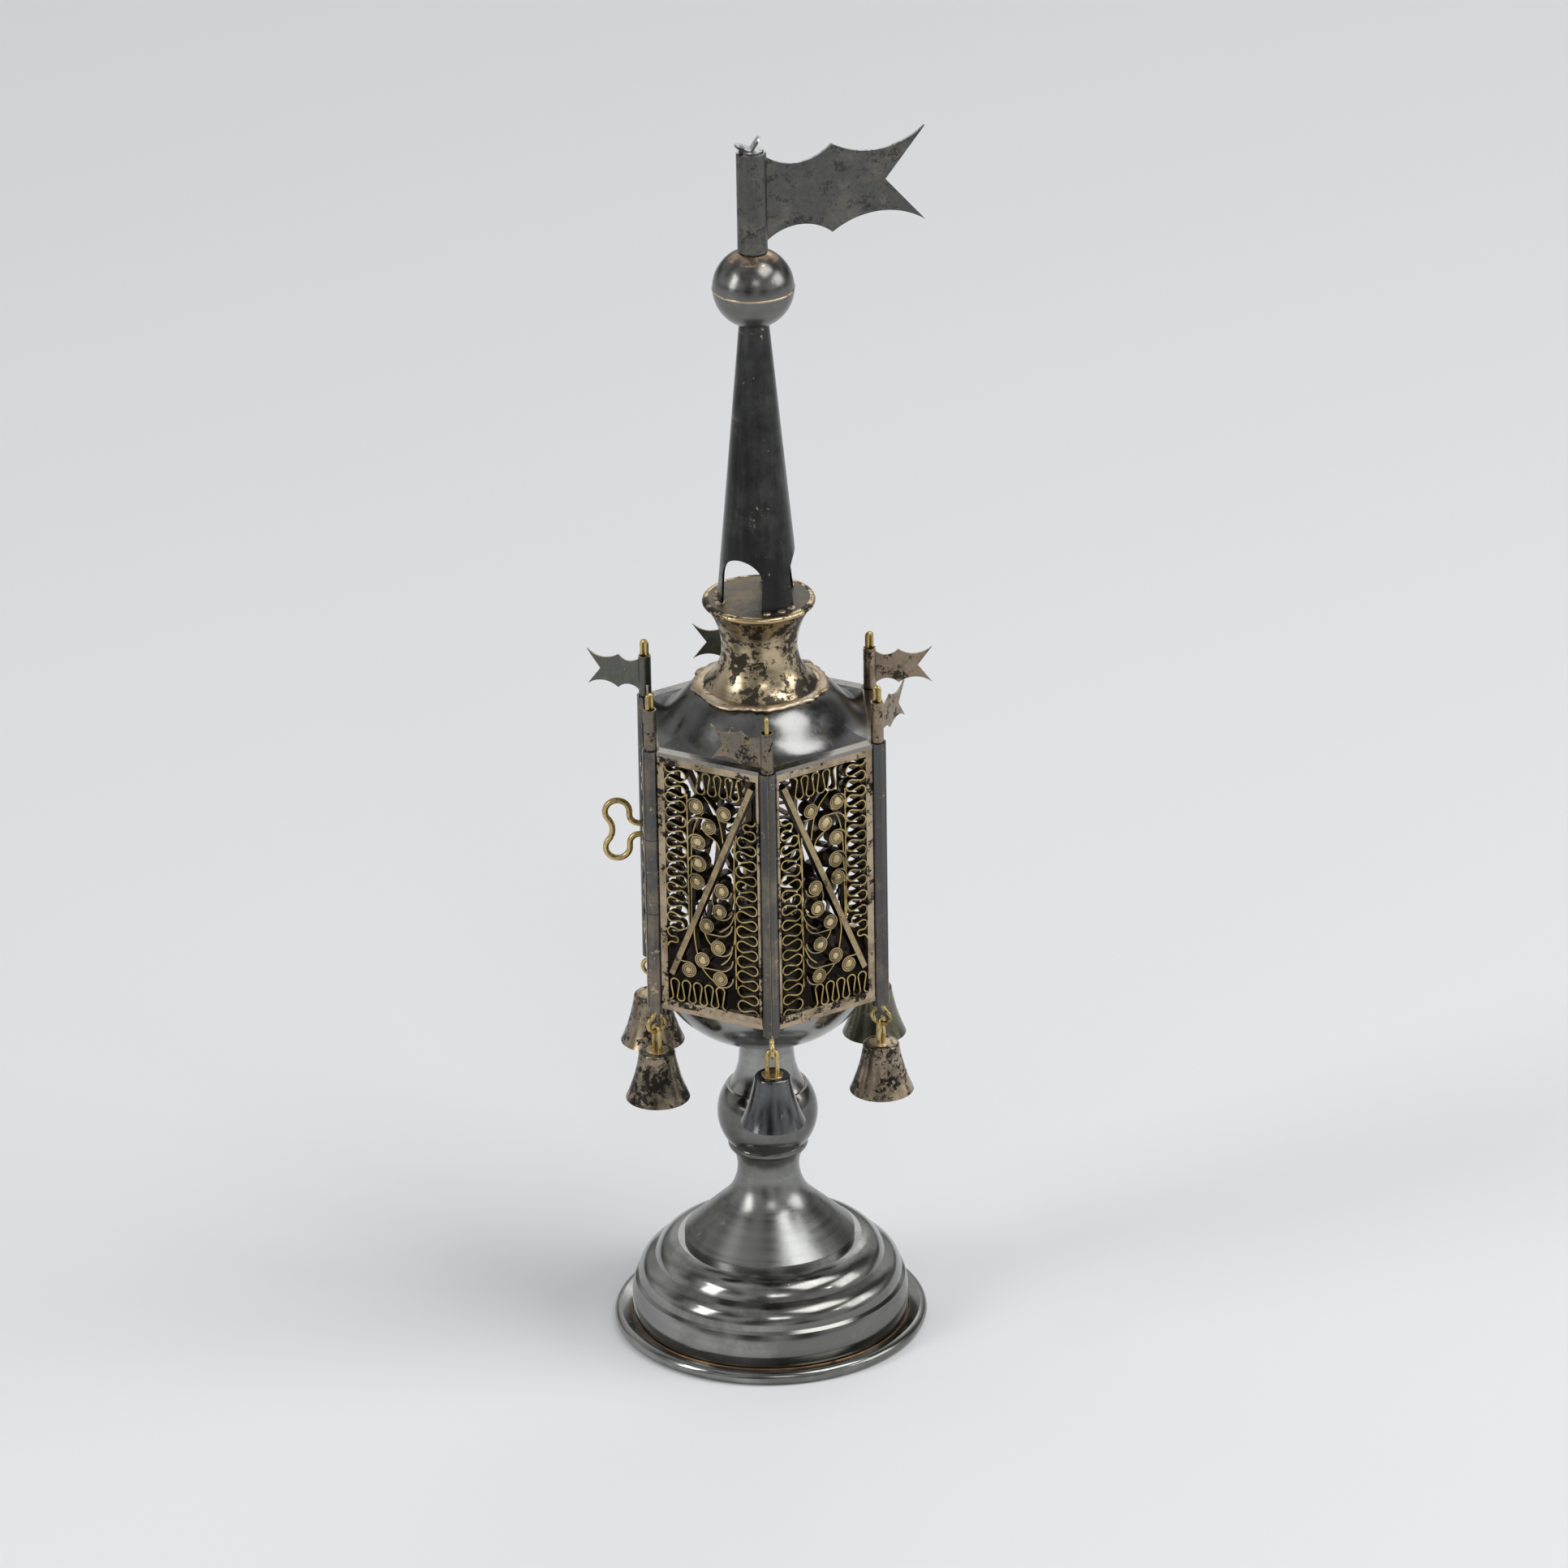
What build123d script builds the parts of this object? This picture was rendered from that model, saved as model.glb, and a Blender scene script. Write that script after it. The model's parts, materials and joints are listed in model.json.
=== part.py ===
from build123d import *

import os
from math import asin, atan2, cos, degrees, hypot, radians, sin, sqrt

os.makedirs("parts", exist_ok=True)

# Spice tower: spun foot and stem, six-sided filigree box with a door, domed roof, spire, flags and bells.
# The origin is on the axis at the table. +Z is up and the front corner post stands on -Y.

# Clearances
solder_gap = 0.05
turning_gap = 0.1
door_gap = 0.3

# Foot: rim, three tiers of spun sheet
sheet = 0.8
base_radius = 30.0
rim_height = 2.6
rim_overhang = 3.7
rim_seat = 1.9
ledge_height = 1.8
lower_tier_height = 7.0
lower_tier_taper = 0.4
lower_tier_bulge = 0.45
middle_tier_inset = 1.0
middle_tier_height = 4.0
middle_tier_taper = 2.4
middle_tier_bulge = 0.7
upper_tier_inset = 4.3
upper_tier_height = 3.6
upper_tier_taper = 4.4
upper_tier_bulge = 0.8
tier_step = 0.5
dome_eye_inset = 3.8

# Stem: trumpet, knop and neck on one bore
stem_bore = 3.6
trumpet_inset = 1.3
trumpet_lip = 1.1
trumpet_cone_radius = 9.4
trumpet_cone_height = 6.5
trumpet_waist_radius = 5.9
trumpet_waist_height = 7.6
trumpet_flare_radius = 6.9
trumpet_flare_height = 3.7
knop_radius = 9.6
knop_collar_radius = 7.5
knop_collar_height = 1.7
knop_collar_bulge = 0.42
knop_seat_radius = 7.8
neck_foot_radius = 7.3
neck_waist_radius = 5.25
neck_waist_height = 7.3
neck_top_radius = 6.3
neck_top_height = 3.8

# Box: dish, floor, posts, panels
dish_inset = 0.82
dish_height = 12.2
dish_sag = 2.4
floor_thickness = 0.9
post_circle_radius = 24.5
post_radius = 1.6
post_wall = 0.35
post_seam = 0.2
post_drop = 2.0
panel_height = 51.6
frame_width = 1.4
narrow_stile = 0.5
frame_depth = 1.2

# Filigree: looped ribbon, slanting bar, stems and rolled coils
ribbon = 0.26
ribbon_depth = 1.4
loop_share = 0.2383
pitch_share = 0.674
row_share = 0.0984
row_pitch_share = 0.5
crest_share = 0.37
root_share = 0.32
least_share = 0.5
loop_margin = 0.3
bar_width = 1.1
bar_depth = 1.8
bar_foot_height = 5.6
bar_margin = 0.4
coil_eye = 0.36
coil_gap = 0.12
coil_depth = 2.1
coil_width_share = 0.1815
coil_height_share = 0.069
coil_tail_bend = 2.6
coil_tail_share = 0.85

# Coils of a panel: place as shares of the opening, way of the tail and what it is soldered to
coils = (
    (0.36, 0.857, -1, "stem"),
    (0.496, 0.781, -1, "stem"),
    (0.374, 0.707, -1, "stem"),
    (0.383, 0.616, -1, "stem"),
    (0.36, 0.538, -1, "stem"),
    (0.67, 0.845, 1, "bar"),
    (0.63, 0.516, 1, "stem"),
    (0.604, 0.426, 1, "stem"),
    (0.462, 0.355, 1, "stem"),
    (0.583, 0.271, 1, "stem"),
    (0.406, 0.206, 1, "stem"),
    (0.601, 0.138, 1, "stem"),
    (0.25, 0.155, -1, "bar"),
)

# Hinge and pull of the door
knuckle_length = 15.2
knuckle_foot = 18.9
leaf_thickness = 0.8
pull_wire = 1.15
pull_foot_spread = 1.15
pull_foot_length = 1.2
pull_bend_radius = 1.8
pull_lobe_radius = 2.3
pull_lobe_height = 3.7
pull_waist_angle = 40.0

# Corner wires, flags and bells
wire = 0.85
wire_spread = 0.475
wire_head = 10.6
eye_stub = 0.45
eye_radius = 1.45
eye_flat = 0.7
eye_bend_radius = 1.2
eye_close_angle = 150.0
flag_sleeve_radius = 1.2
flag_sleeve_wall = 0.2
flag_sleeve_length = 8.1
flag_sheet = 0.35
flag_length = 11.8
flag_half_height = 3.3
flag_dip = 0.72
flag_cusp = 1.03
flag_cusp_at = 0.46
flag_tip = 1.1
flag_notch = 0.77
bell_height = 9.8
bell_mouth_radius = 6.1
bell_crown_radius = 3.45
bell_shoulder = 0.6
bell_flare = 0.35
bell_wall = 0.5
bell_hang = 4.0
loop_drop = 1.5
loop_corner = 0.7
loop_end_gap = 0.1
clapper_wire = 0.6
clapper_length = 6.7
clapper_bead_radius = 1.1

# Roof, collar and spire
roof_wall = 0.7
roof_flange = 0.8
roof_foot_inset = 2.92
roof_foot_rise = 1.1
roof_shoulder_radius = 14.3
roof_shoulder_rise = 5.3
roof_top_radius = 11.6
roof_rise = 7.2
collar_wall = 0.7
collar_inset = 0.1
collar_flange_width = 1.3
collar_flange = 0.5
collar_foot_rise = 1.0
collar_waist_radius = 7.15
collar_waist_rise = 7.8
collar_rim_radius = 10.63
collar_rim_height = 1.1
collar_height = 17.7
plate_ledge = 0.5
plate_thickness = 0.6
spire_foot_radius = 7.8
spire_top_radius = 2.8
spire_height = 55.5
spire_wall = 0.6
arch_width = 8.6
arch_height = 10.0
arch_turn = -2.5
ball_radius = 7.63
ball_wall = 0.6

# Big flag and its spindle
spindle_radius = 2.25
spindle_fit = 0.05
spindle_head = 0.4
big_sleeve_radius = 2.8
big_sleeve_length = 19.5
big_flag_sheet = 0.5
big_flag_length = 34.5
big_flag_half_height = 8.5
big_flag_turn = 19.5
tab_width = 2.6
tab_length = 3.3
tab_thickness = 0.4
tab_tilts = (22.0, 58.0)

# Radii, each led from the base or from the circle of the posts
dome_radius = base_radius - rim_overhang
rim_inner_radius = dome_radius - rim_seat
middle_tier_radius = dome_radius - middle_tier_inset
upper_tier_radius = dome_radius - upper_tier_inset
trumpet_radius = upper_tier_radius - upper_tier_taper - trumpet_inset
dome_eye_radius = trumpet_radius - dome_eye_inset
side_apothem = post_circle_radius * cos(radians(30))
dish_radius = side_apothem - dish_inset
roof_foot_radius = side_apothem - roof_foot_inset
collar_flange_radius = roof_top_radius - collar_inset
collar_foot_radius = collar_flange_radius - collar_flange_width
plate_radius = collar_rim_radius - collar_rim_height

# Levels, from the table up
lower_top = ledge_height + lower_tier_height
middle_foot = lower_top + tier_step
middle_top = middle_foot + middle_tier_height
upper_foot = middle_top + tier_step
dome_top = upper_foot + upper_tier_height
trumpet_cone_foot = dome_top + trumpet_lip
trumpet_cone_top = trumpet_cone_foot + trumpet_cone_height
trumpet_waist = trumpet_cone_top + trumpet_waist_height
trumpet_top = trumpet_waist + trumpet_flare_height
knop_foot = trumpet_top + knop_collar_height
knop_centre = knop_foot + sqrt(knop_radius**2 - knop_collar_radius**2)
knop_top = knop_centre + sqrt(knop_radius**2 - knop_seat_radius**2)
neck_waist = knop_top + neck_waist_height
neck_top = neck_waist + neck_top_height
floor_bottom = neck_top + dish_height
panel_bottom = floor_bottom + floor_thickness
panel_top = panel_bottom + panel_height
roof_edge = panel_top + roof_flange
roof_top = roof_edge + roof_rise
post_bottom = panel_bottom - post_drop
post_top = roof_edge
collar_top = roof_top + collar_height
spire_top = collar_top + spire_height
ball_rise = sqrt(ball_radius**2 - spire_top_radius**2)
ball_centre = spire_top + ball_rise
ball_top = ball_centre + ball_rise
big_sleeve_bottom = ball_top + door_gap
big_sleeve_top = big_sleeve_bottom + big_sleeve_length
knuckle_bottom = panel_bottom + knuckle_foot
knuckle_top = knuckle_bottom + knuckle_length

# Pivots and runs that several pieces share
wire_radius = wire / 2
eye_reach = sqrt((eye_radius + eye_bend_radius) ** 2 - (wire_spread + eye_bend_radius - eye_flat / 2) ** 2)
eye_centre = post_bottom - eye_stub - eye_reach
eye_pivot = eye_centre - eye_radius
loop_radius = wire + turning_gap
bell_crown = eye_pivot - bell_hang
loop_pivot = bell_crown - bell_wall - loop_drop
panel_width = post_circle_radius - 2 * (post_radius + solder_gap)
door_width = post_circle_radius - 2 * (post_radius + door_gap)
door_height = panel_height - 2 * door_gap
coil_step = (ribbon + coil_gap) / 2

corners = ("front", "front_right", "back_right", "back", "back_left", "front_left")
sides = ("front_right", "right", "back_right", "back_left", "door", "front_left")
door_side = sides.index("door")
hinge_corner = corners.index("front_left")
flag_turns = (150.0, 61.5, 2.0, 168.5, 154.5, 90.0)


def corner_turn(index):
    return -90 + 60 * index


def around(radius, turn, height=0.0):
    return (radius * cos(radians(turn)), radius * sin(radians(turn)), height)


def upright(index, turn, height=0.0):
    """Plane that stands on a corner post's axis, with local X along turn and local Y up."""
    return Plane(
        origin=around(post_circle_radius, corner_turn(index), height),
        x_dir=around(1, turn),
        z_dir=around(1, turn - 90),
    )


def write(name, part):
    part.label = name
    export_step(part, f"parts/{name}.step")


# Foot
with BuildPart() as base_rim:
    with BuildSketch(Plane.XZ):
        with BuildLine():
            Polyline(
                (rim_inner_radius, ledge_height),
                (rim_inner_radius, 0),
                (base_radius - rim_height / 2, 0),
            )
            CenterArc((base_radius - rim_height / 2, rim_height / 2), rim_height / 2, -90, 180)
            Polyline(
                (base_radius - rim_height / 2, rim_height),
                (dome_radius + solder_gap, ledge_height),
                (rim_inner_radius, ledge_height),
            )
        make_face()
    revolve(axis=Axis.Z)
write("base_rim", base_rim.part)


def tier_line(shift):
    """Stepped line of the dome, from the top of its foot to its flat eye, moved in and down by shift."""

    def at(radius, height):
        return (radius - shift, height - shift)

    lower = at(dome_radius, ledge_height + sheet)
    lower_end = at(dome_radius - lower_tier_taper, lower_top)
    middle = at(middle_tier_radius, middle_foot)
    middle_end = at(middle_tier_radius - middle_tier_taper, middle_top)
    upper = at(upper_tier_radius, upper_foot)
    upper_end = at(upper_tier_radius - upper_tier_taper, dome_top)
    SagittaArc(lower, lower_end, -lower_tier_bulge)
    Line(lower_end, middle)
    SagittaArc(middle, middle_end, -middle_tier_bulge)
    Line(middle_end, upper)
    SagittaArc(upper, upper_end, -upper_tier_bulge)
    Line(upper_end, (dome_eye_radius, upper_end[1]))


with BuildPart() as base_dome:
    with BuildSketch(Plane.XZ):
        with BuildLine():
            tier_line(0)
            tier_line(sheet)
            Line((dome_eye_radius, dome_top), (dome_eye_radius, dome_top - sheet))
            Polyline(
                (dome_radius, ledge_height + sheet),
                (dome_radius, ledge_height),
                (dome_radius - sheet, ledge_height),
            )
        make_face()
    revolve(axis=Axis.Z)
write("base_dome", base_dome.part)


# Stem
def trumpet_line(shift):
    """Flared line of the trumpet from its lip to its top, moved in and down by shift."""

    def at(radius, height):
        return (radius - shift, height - shift)

    waist = at(trumpet_waist_radius, trumpet_waist)
    cone_top = at(trumpet_cone_radius, trumpet_cone_top)
    Line(at(trumpet_radius, trumpet_cone_foot), cone_top)
    TangentArc(waist, cone_top, tangent=(0, -1))
    TangentArc(waist, at(trumpet_flare_radius, trumpet_top), tangent=(0, 1))


with BuildPart() as stem_trumpet:
    with BuildSketch(Plane.XZ):
        with BuildLine():
            trumpet_line(0)
            trumpet_line(sheet)
            Polyline(
                (trumpet_radius, trumpet_cone_foot),
                (trumpet_radius, dome_top),
                (trumpet_radius - sheet, dome_top),
                (trumpet_radius - sheet, trumpet_cone_foot - sheet),
            )
            Polyline(
                (trumpet_flare_radius, trumpet_top),
                (trumpet_flare_radius - sheet, trumpet_top),
                (trumpet_flare_radius - sheet, trumpet_top - sheet),
            )
        make_face()
    revolve(axis=Axis.Z)
write("stem_trumpet", stem_trumpet.part)

with BuildPart() as stem_knop:
    with BuildSketch(Plane.XZ):
        with BuildLine():
            Polyline((knop_seat_radius, knop_top), (stem_bore, knop_top), (stem_bore, trumpet_top))
            Line((stem_bore, trumpet_top), (trumpet_flare_radius, trumpet_top))
            knop_ring = (knop_collar_radius, knop_foot)
            SagittaArc((trumpet_flare_radius, trumpet_top), knop_ring, -knop_collar_bulge)
            ThreePointArc(knop_ring, (knop_radius, knop_centre), (knop_seat_radius, knop_top))
        make_face()
    revolve(axis=Axis.Z)
write("stem_knop", stem_knop.part)

with BuildPart() as stem_neck:
    with BuildSketch(Plane.XZ):
        with BuildLine():
            TangentArc((neck_waist_radius, neck_waist), (neck_foot_radius, knop_top), tangent=(0, -1))
            TangentArc((neck_waist_radius, neck_waist), (neck_top_radius, neck_top), tangent=(0, 1))
            Polyline(
                (neck_top_radius, neck_top),
                (stem_bore, neck_top),
                (stem_bore, knop_top),
                (neck_foot_radius, knop_top),
            )
        make_face()
    revolve(axis=Axis.Z)
write("stem_neck", stem_neck.part)


# Box
def dish_line(shift):
    """Curve of the dish from the neck to its rim, moved in and up by shift."""
    foot = (neck_top_radius - shift, neck_top + shift)
    rim = (dish_radius - shift, floor_bottom - sheet + shift)
    SagittaArc(foot, rim, -dish_sag)


with BuildPart() as floor_dish:
    with BuildSketch(Plane.XZ):
        with BuildLine():
            dish_line(0)
            dish_line(sheet)
            Polyline(
                (dish_radius, floor_bottom - sheet),
                (dish_radius, floor_bottom),
                (dish_radius - sheet, floor_bottom),
            )
            Polyline(
                (neck_top_radius, neck_top),
                (stem_bore, neck_top),
                (stem_bore, neck_top + sheet),
                (neck_top_radius - sheet, neck_top + sheet),
            )
        make_face()
    revolve(axis=Axis.Z)
write("floor_dish", floor_dish.part)

with BuildPart() as box_floor:
    with BuildSketch(Plane.XY.offset(floor_bottom)):
        RegularPolygon(side_apothem + frame_depth / 2, 6, major_radius=False, rotation=30)
        with PolarLocations(post_circle_radius, 6, start_angle=corner_turn(0)):
            Circle(post_radius + solder_gap, mode=Mode.SUBTRACT)
    extrude(amount=floor_thickness)
write("box_floor", box_floor.part)


def post_tube(index, bottom, top):
    """Rolled tube round a corner's axis, with its seam towards the outside."""
    with BuildSketch(Plane.XY.offset(bottom)) as section:
        with Locations(around(post_circle_radius, corner_turn(index))):
            Circle(post_radius)
            Circle(post_radius - post_wall, mode=Mode.SUBTRACT)
        with Locations(around(post_circle_radius + post_radius, corner_turn(index))):
            Rectangle(post_radius, post_seam, rotation=corner_turn(index), mode=Mode.SUBTRACT)
    extrude(section.sketch, amount=top - bottom)


for index, corner in enumerate(corners):
    with BuildPart() as post:
        if index == hinge_corner:
            post_tube(index, post_bottom, knuckle_bottom - turning_gap)
            post_tube(index, knuckle_top + turning_gap, post_top)
        else:
            post_tube(index, post_bottom, post_top)
    write("hinge_post" if index == hinge_corner else f"post_{corner}", post.part)


# Panels
def side_plane(index):
    """Plane of a side, seen from where its bar rises to the right, with local Y up, and its way out."""
    turn = corner_turn(index) + 30
    way_out = -1 if index % 2 == 0 else 1
    plane = Plane(
        origin=around(side_apothem, turn, panel_bottom),
        x_dir=around(way_out, turn + 90),
        z_dir=around(way_out, turn),
    )
    return plane, way_out


def panel_frame(plane, width, height, foot, shift):
    """Flat strip round an opening that lies shift to the right of the frame's middle."""
    with BuildSketch(plane.offset(-frame_depth / 2)) as strip:
        with Locations((0, foot + height / 2)):
            Rectangle(width, height)
        with Locations((shift, foot + height / 2)):
            Rectangle(width - frame_width - narrow_stile, height - 2 * frame_width, mode=Mode.SUBTRACT)
    extrude(strip.sketch, amount=frame_depth)


def ribbon_run(start, along, depths, full, pitch):
    """Looped ribbon from a point of the panel along a direction, with a loop to its left for each depth."""
    root_radius = root_share * pitch
    root_height = root_radius + ribbon / 2 + solder_gap
    crest_radii = [crest_share * pitch * depth / full for depth in depths]
    leans = []
    for depth, crest_radius in zip(depths, crest_radii):
        rise = depth - crest_radius - ribbon / 2 - root_height
        reach = hypot(pitch / 2, rise)
        leans.append(degrees(atan2(rise, pitch / 2) + asin((root_radius + crest_radius) / reach)))
    last = len(depths)
    edges = []
    with BuildLine(Plane(origin=start, x_dir=along), mode=Mode.PRIVATE):
        for half in (ribbon / 2, -ribbon / 2):
            inner = root_radius - half
            for k in range(last + 1):
                before = leans[k - 1] if k > 0 else 0
                after = leans[k] if k < last else 0
                root = (k * pitch, root_height)
                edges.append(CenterArc(root, inner, -90 - before, before + after, mode=Mode.PRIVATE))
            for k, depth in enumerate(depths):
                outer = crest_radii[k] + half
                crest = ((k + 0.5) * pitch, depth - crest_radii[k] - ribbon / 2)
                edges.append(CenterArc(crest, outer, 90 + leans[k], -2 * leans[k], mode=Mode.PRIVATE))
                for side in (1, -1):
                    root = ((k + 0.5 - side / 2) * pitch, root_height)
                    across = side * sin(radians(leans[k]))
                    up = cos(radians(leans[k]))
                    low = (root[0] + inner * across, root[1] - inner * up)
                    high = (crest[0] - outer * across, crest[1] + outer * up)
                    edges.append(Line(low, high, mode=Mode.PRIVATE))
        for end in (0, last * pitch):
            bottom = root_height - root_radius - ribbon / 2
            edges.append(Line((end, bottom), (end, bottom + ribbon), mode=Mode.PRIVATE))
    make_face(edges)


def rolled_coil(centre, way, half_turns, reach, bend):
    """Strip rolled into a disc, whose tail runs out by reach, right for way 1, and bends at its end."""
    radius = coil_eye + (half_turns - 1) * coil_step
    level = reach - bend
    edges = []
    with BuildLine(Plane(origin=centre, x_dir=(-way, 0, 0)), mode=Mode.PRIVATE):
        for half in (ribbon / 2, -ribbon / 2):
            for k in range(half_turns):
                inward = (half_turns - 1 - k) % 2
                middle = (0, -inward * coil_step)
                turn = coil_eye + k * coil_step + half
                edges.append(CenterArc(middle, turn, 90 if inward else -90, 180, mode=Mode.PRIVATE))
            edges.append(Line((0, radius + half), (-level, radius + half), mode=Mode.PRIVATE))
            if bend:
                edges.append(CenterArc((-level, radius - bend), bend + half, 90, 90, mode=Mode.PRIVATE))
        if bend:
            tail = ((-reach - ribbon / 2, radius - bend), (-reach + ribbon / 2, radius - bend))
        else:
            tail = ((-reach, radius - ribbon / 2), (-reach, radius + ribbon / 2))
        edges.append(Line(*tail, mode=Mode.PRIVATE))
        edges.append(Line((0, -coil_eye - ribbon / 2), (0, -coil_eye + ribbon / 2), mode=Mode.PRIVATE))
    make_face(edges)


def filigree(way_out, width, height, foot):
    """Ribbon runs, slanting bar, stems and coils of a frame's opening, as separate solids on XY."""
    half = width / 2
    top = foot + height
    loop_depth = loop_share * width
    pitch = pitch_share * loop_depth
    row_depth = row_share * height
    row_pitch = row_pitch_share * row_depth
    bar_start = (-half + bar_margin + bar_width / 2, foot + bar_foot_height)
    bar_end = (half - bar_margin - bar_width / 2, top - bar_margin - bar_width)
    slope = (bar_end[0] - bar_start[0]) / (bar_end[1] - bar_start[1])
    bar_half = bar_width / 2 * sqrt(1 + slope**2)
    stem_at = half - loop_depth - solder_gap - ribbon / 2

    def bar_at(up):
        return bar_start[0] + slope * (up - bar_start[1])

    def side_run(way):
        """Depths of the right (1) or left (-1) run's loops, which stop where the bar closes in on them."""
        depths = []
        up = foot + loop_margin if way > 0 else top - loop_margin
        while True:
            nearest = up + way * (pitch / 2 + crest_share * pitch + ribbon)
            depth = min(loop_depth, half - way * bar_at(nearest) - bar_half - loop_margin)
            if depth < least_share * loop_depth or not foot < nearest < top:
                return depths
            depths.append(depth)
            up += way * pitch

    short_room = width - 2 * loop_margin - loop_depth
    low_run = [row_depth] * int(short_room / row_pitch)
    high_start = bar_at(top - row_depth) - bar_half - loop_margin
    high_run = [row_depth] * int((high_start + half - loop_depth - loop_margin) / row_pitch)
    side_runs = (
        ((half, foot + loop_margin, 0), (0, 1, 0), side_run(1)),
        ((-half, top - loop_margin, 0), (0, -1, 0), side_run(-1)),
    )
    row_runs = (
        ((-half + loop_margin, foot, 0), (1, 0, 0), low_run),
        ((high_start, top, 0), (-1, 0, 0), high_run),
    )
    low_stem = bar_start[1] + (bar_half + loop_margin - stem_at - bar_start[0]) / slope
    high_stem = bar_start[1] + (stem_at - bar_half - loop_margin - bar_start[0]) / slope
    stems = (
        (-stem_at, low_stem, top - row_depth - loop_margin),
        (stem_at, foot + row_depth + loop_margin, high_stem),
    )
    with BuildSketch(Plane.XY.offset(-ribbon_depth / 2)) as strips:
        for start, along, depths in side_runs:
            ribbon_run(start, along, depths, loop_depth, pitch)
        for start, along, depths in row_runs:
            ribbon_run(start, along, depths, row_depth, row_pitch)
        for across, low, high in stems:
            with Locations((across, (low + high) / 2)):
                Rectangle(ribbon, high - low)
    extrude(strips.sketch, amount=ribbon_depth, clean=False)

    bar_middle = ((bar_start[0] + bar_end[0]) / 2, (bar_start[1] + bar_end[1]) / 2)
    bar_length = hypot(bar_end[0] - bar_start[0], bar_end[1] - bar_start[1])
    with BuildSketch(Plane.XY.offset(-bar_depth / 2)) as bar:
        with Locations(bar_middle):
            Rectangle(bar_width, bar_length, rotation=-degrees(atan2(slope, 1)))
    extrude(bar.sketch, amount=bar_depth, clean=False)

    coil_room = min(coil_width_share * width, coil_height_share * height) / 2
    half_turns = 2 * int((coil_room - coil_eye - ribbon / 2) / coil_step / 2) + 1
    coil_radius = coil_eye + (half_turns - 1) * coil_step
    with BuildSketch(Plane.XY.offset(-way_out * ribbon_depth / 2)) as rolls:
        for across, up, way, seat in coils:
            centre = (-half + across * width, foot + up * height)
            stem_reach = stem_at - ribbon - solder_gap - way * centre[0]
            bar_reach = way * (bar_at(centre[1] - way * coil_radius) - centre[0]) - bar_half - ribbon * slope
            if seat == "stem":
                bend = min(coil_tail_bend, coil_tail_share * stem_reach)
                rolled_coil(centre, way, half_turns, stem_reach, bend)
            else:
                rolled_coil(centre, way, half_turns, bar_reach - solder_gap, 0)
    extrude(rolls.sketch, amount=way_out * coil_depth, clean=False)


laces = {}
for index, side in enumerate(sides):
    plane, way_out = side_plane(index)
    is_door = index == door_side
    width = door_width if is_door else panel_width
    height = door_height if is_door else panel_height
    foot = door_gap if is_door else 0.0
    shift = (frame_width - narrow_stile) / 2 * (-1 if is_door else 1)
    with BuildPart() as frame:
        panel_frame(plane, width, height, foot, shift)
    write("door_frame" if is_door else f"panel_frame_{side}", frame.part)
    kind = (is_door, way_out)
    if kind not in laces:
        with BuildPart() as lace:
            filigree(
                way_out,
                width - frame_width - narrow_stile,
                height - 2 * frame_width,
                foot + frame_width,
            )
        laces[kind] = lace.part
    place = plane.location * Location((shift, 0, 0))
    write("door_filigree" if is_door else f"filigree_{side}", place * laces[kind])

# Door hinge and pull
leaf_start = post_radius - post_wall / 2
leaf_reach = door_gap + post_wall / 2
hinge_at = around(post_circle_radius, corner_turn(hinge_corner))
with BuildPart() as door_knuckle:
    post_tube(hinge_corner, knuckle_bottom, knuckle_top)
    with BuildSketch(Plane.XY.offset(knuckle_bottom)):
        with Locations((hinge_at[0], hinge_at[1] + leaf_start + leaf_reach / 2)):
            Rectangle(leaf_thickness, leaf_reach)
    extrude(amount=knuckle_length)
write("door_knuckle", door_knuckle.part)

pull_plane = Plane(
    origin=(
        -side_apothem - frame_depth / 2,
        (door_width - frame_width) / 2,
        panel_bottom + panel_height / 2,
    ),
    x_dir=(-1, 0, 0),
    z_dir=(0, 1, 0),
)
pull_stand = pull_foot_length + pull_bend_radius
pull_waist_reach = pull_lobe_height / sin(radians(pull_waist_angle))
pull_waist_radius = pull_waist_reach - pull_lobe_radius
pull_waist_centre = pull_stand + pull_lobe_radius + pull_waist_reach * cos(radians(pull_waist_angle))
with BuildPart() as door_pull:
    with BuildLine(pull_plane) as pull_path:
        for way in (1, -1):
            Line((0, way * pull_foot_spread), (pull_foot_length, way * pull_foot_spread))
            pull_bend = (pull_foot_length, way * (pull_foot_spread + pull_bend_radius))
            CenterArc(pull_bend, pull_bend_radius, -way * 90, way * 90)
            Line((pull_stand, pull_bend[1]), (pull_stand, way * pull_lobe_height))
            CenterArc(
                (pull_stand + pull_lobe_radius, way * pull_lobe_height),
                pull_lobe_radius,
                180,
                -way * (180 + pull_waist_angle),
            )
        CenterArc((pull_waist_centre, 0), pull_waist_radius, 180 - pull_waist_angle, 2 * pull_waist_angle)
    pull_start = pull_plane.from_local_coords((0, pull_foot_spread, 0))
    with BuildSketch(Plane(origin=pull_start, z_dir=pull_plane.x_dir)):
        Circle(pull_wire / 2)
    sweep(path=pull_path.wires()[0])
write("door_pull", door_pull.part)


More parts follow.
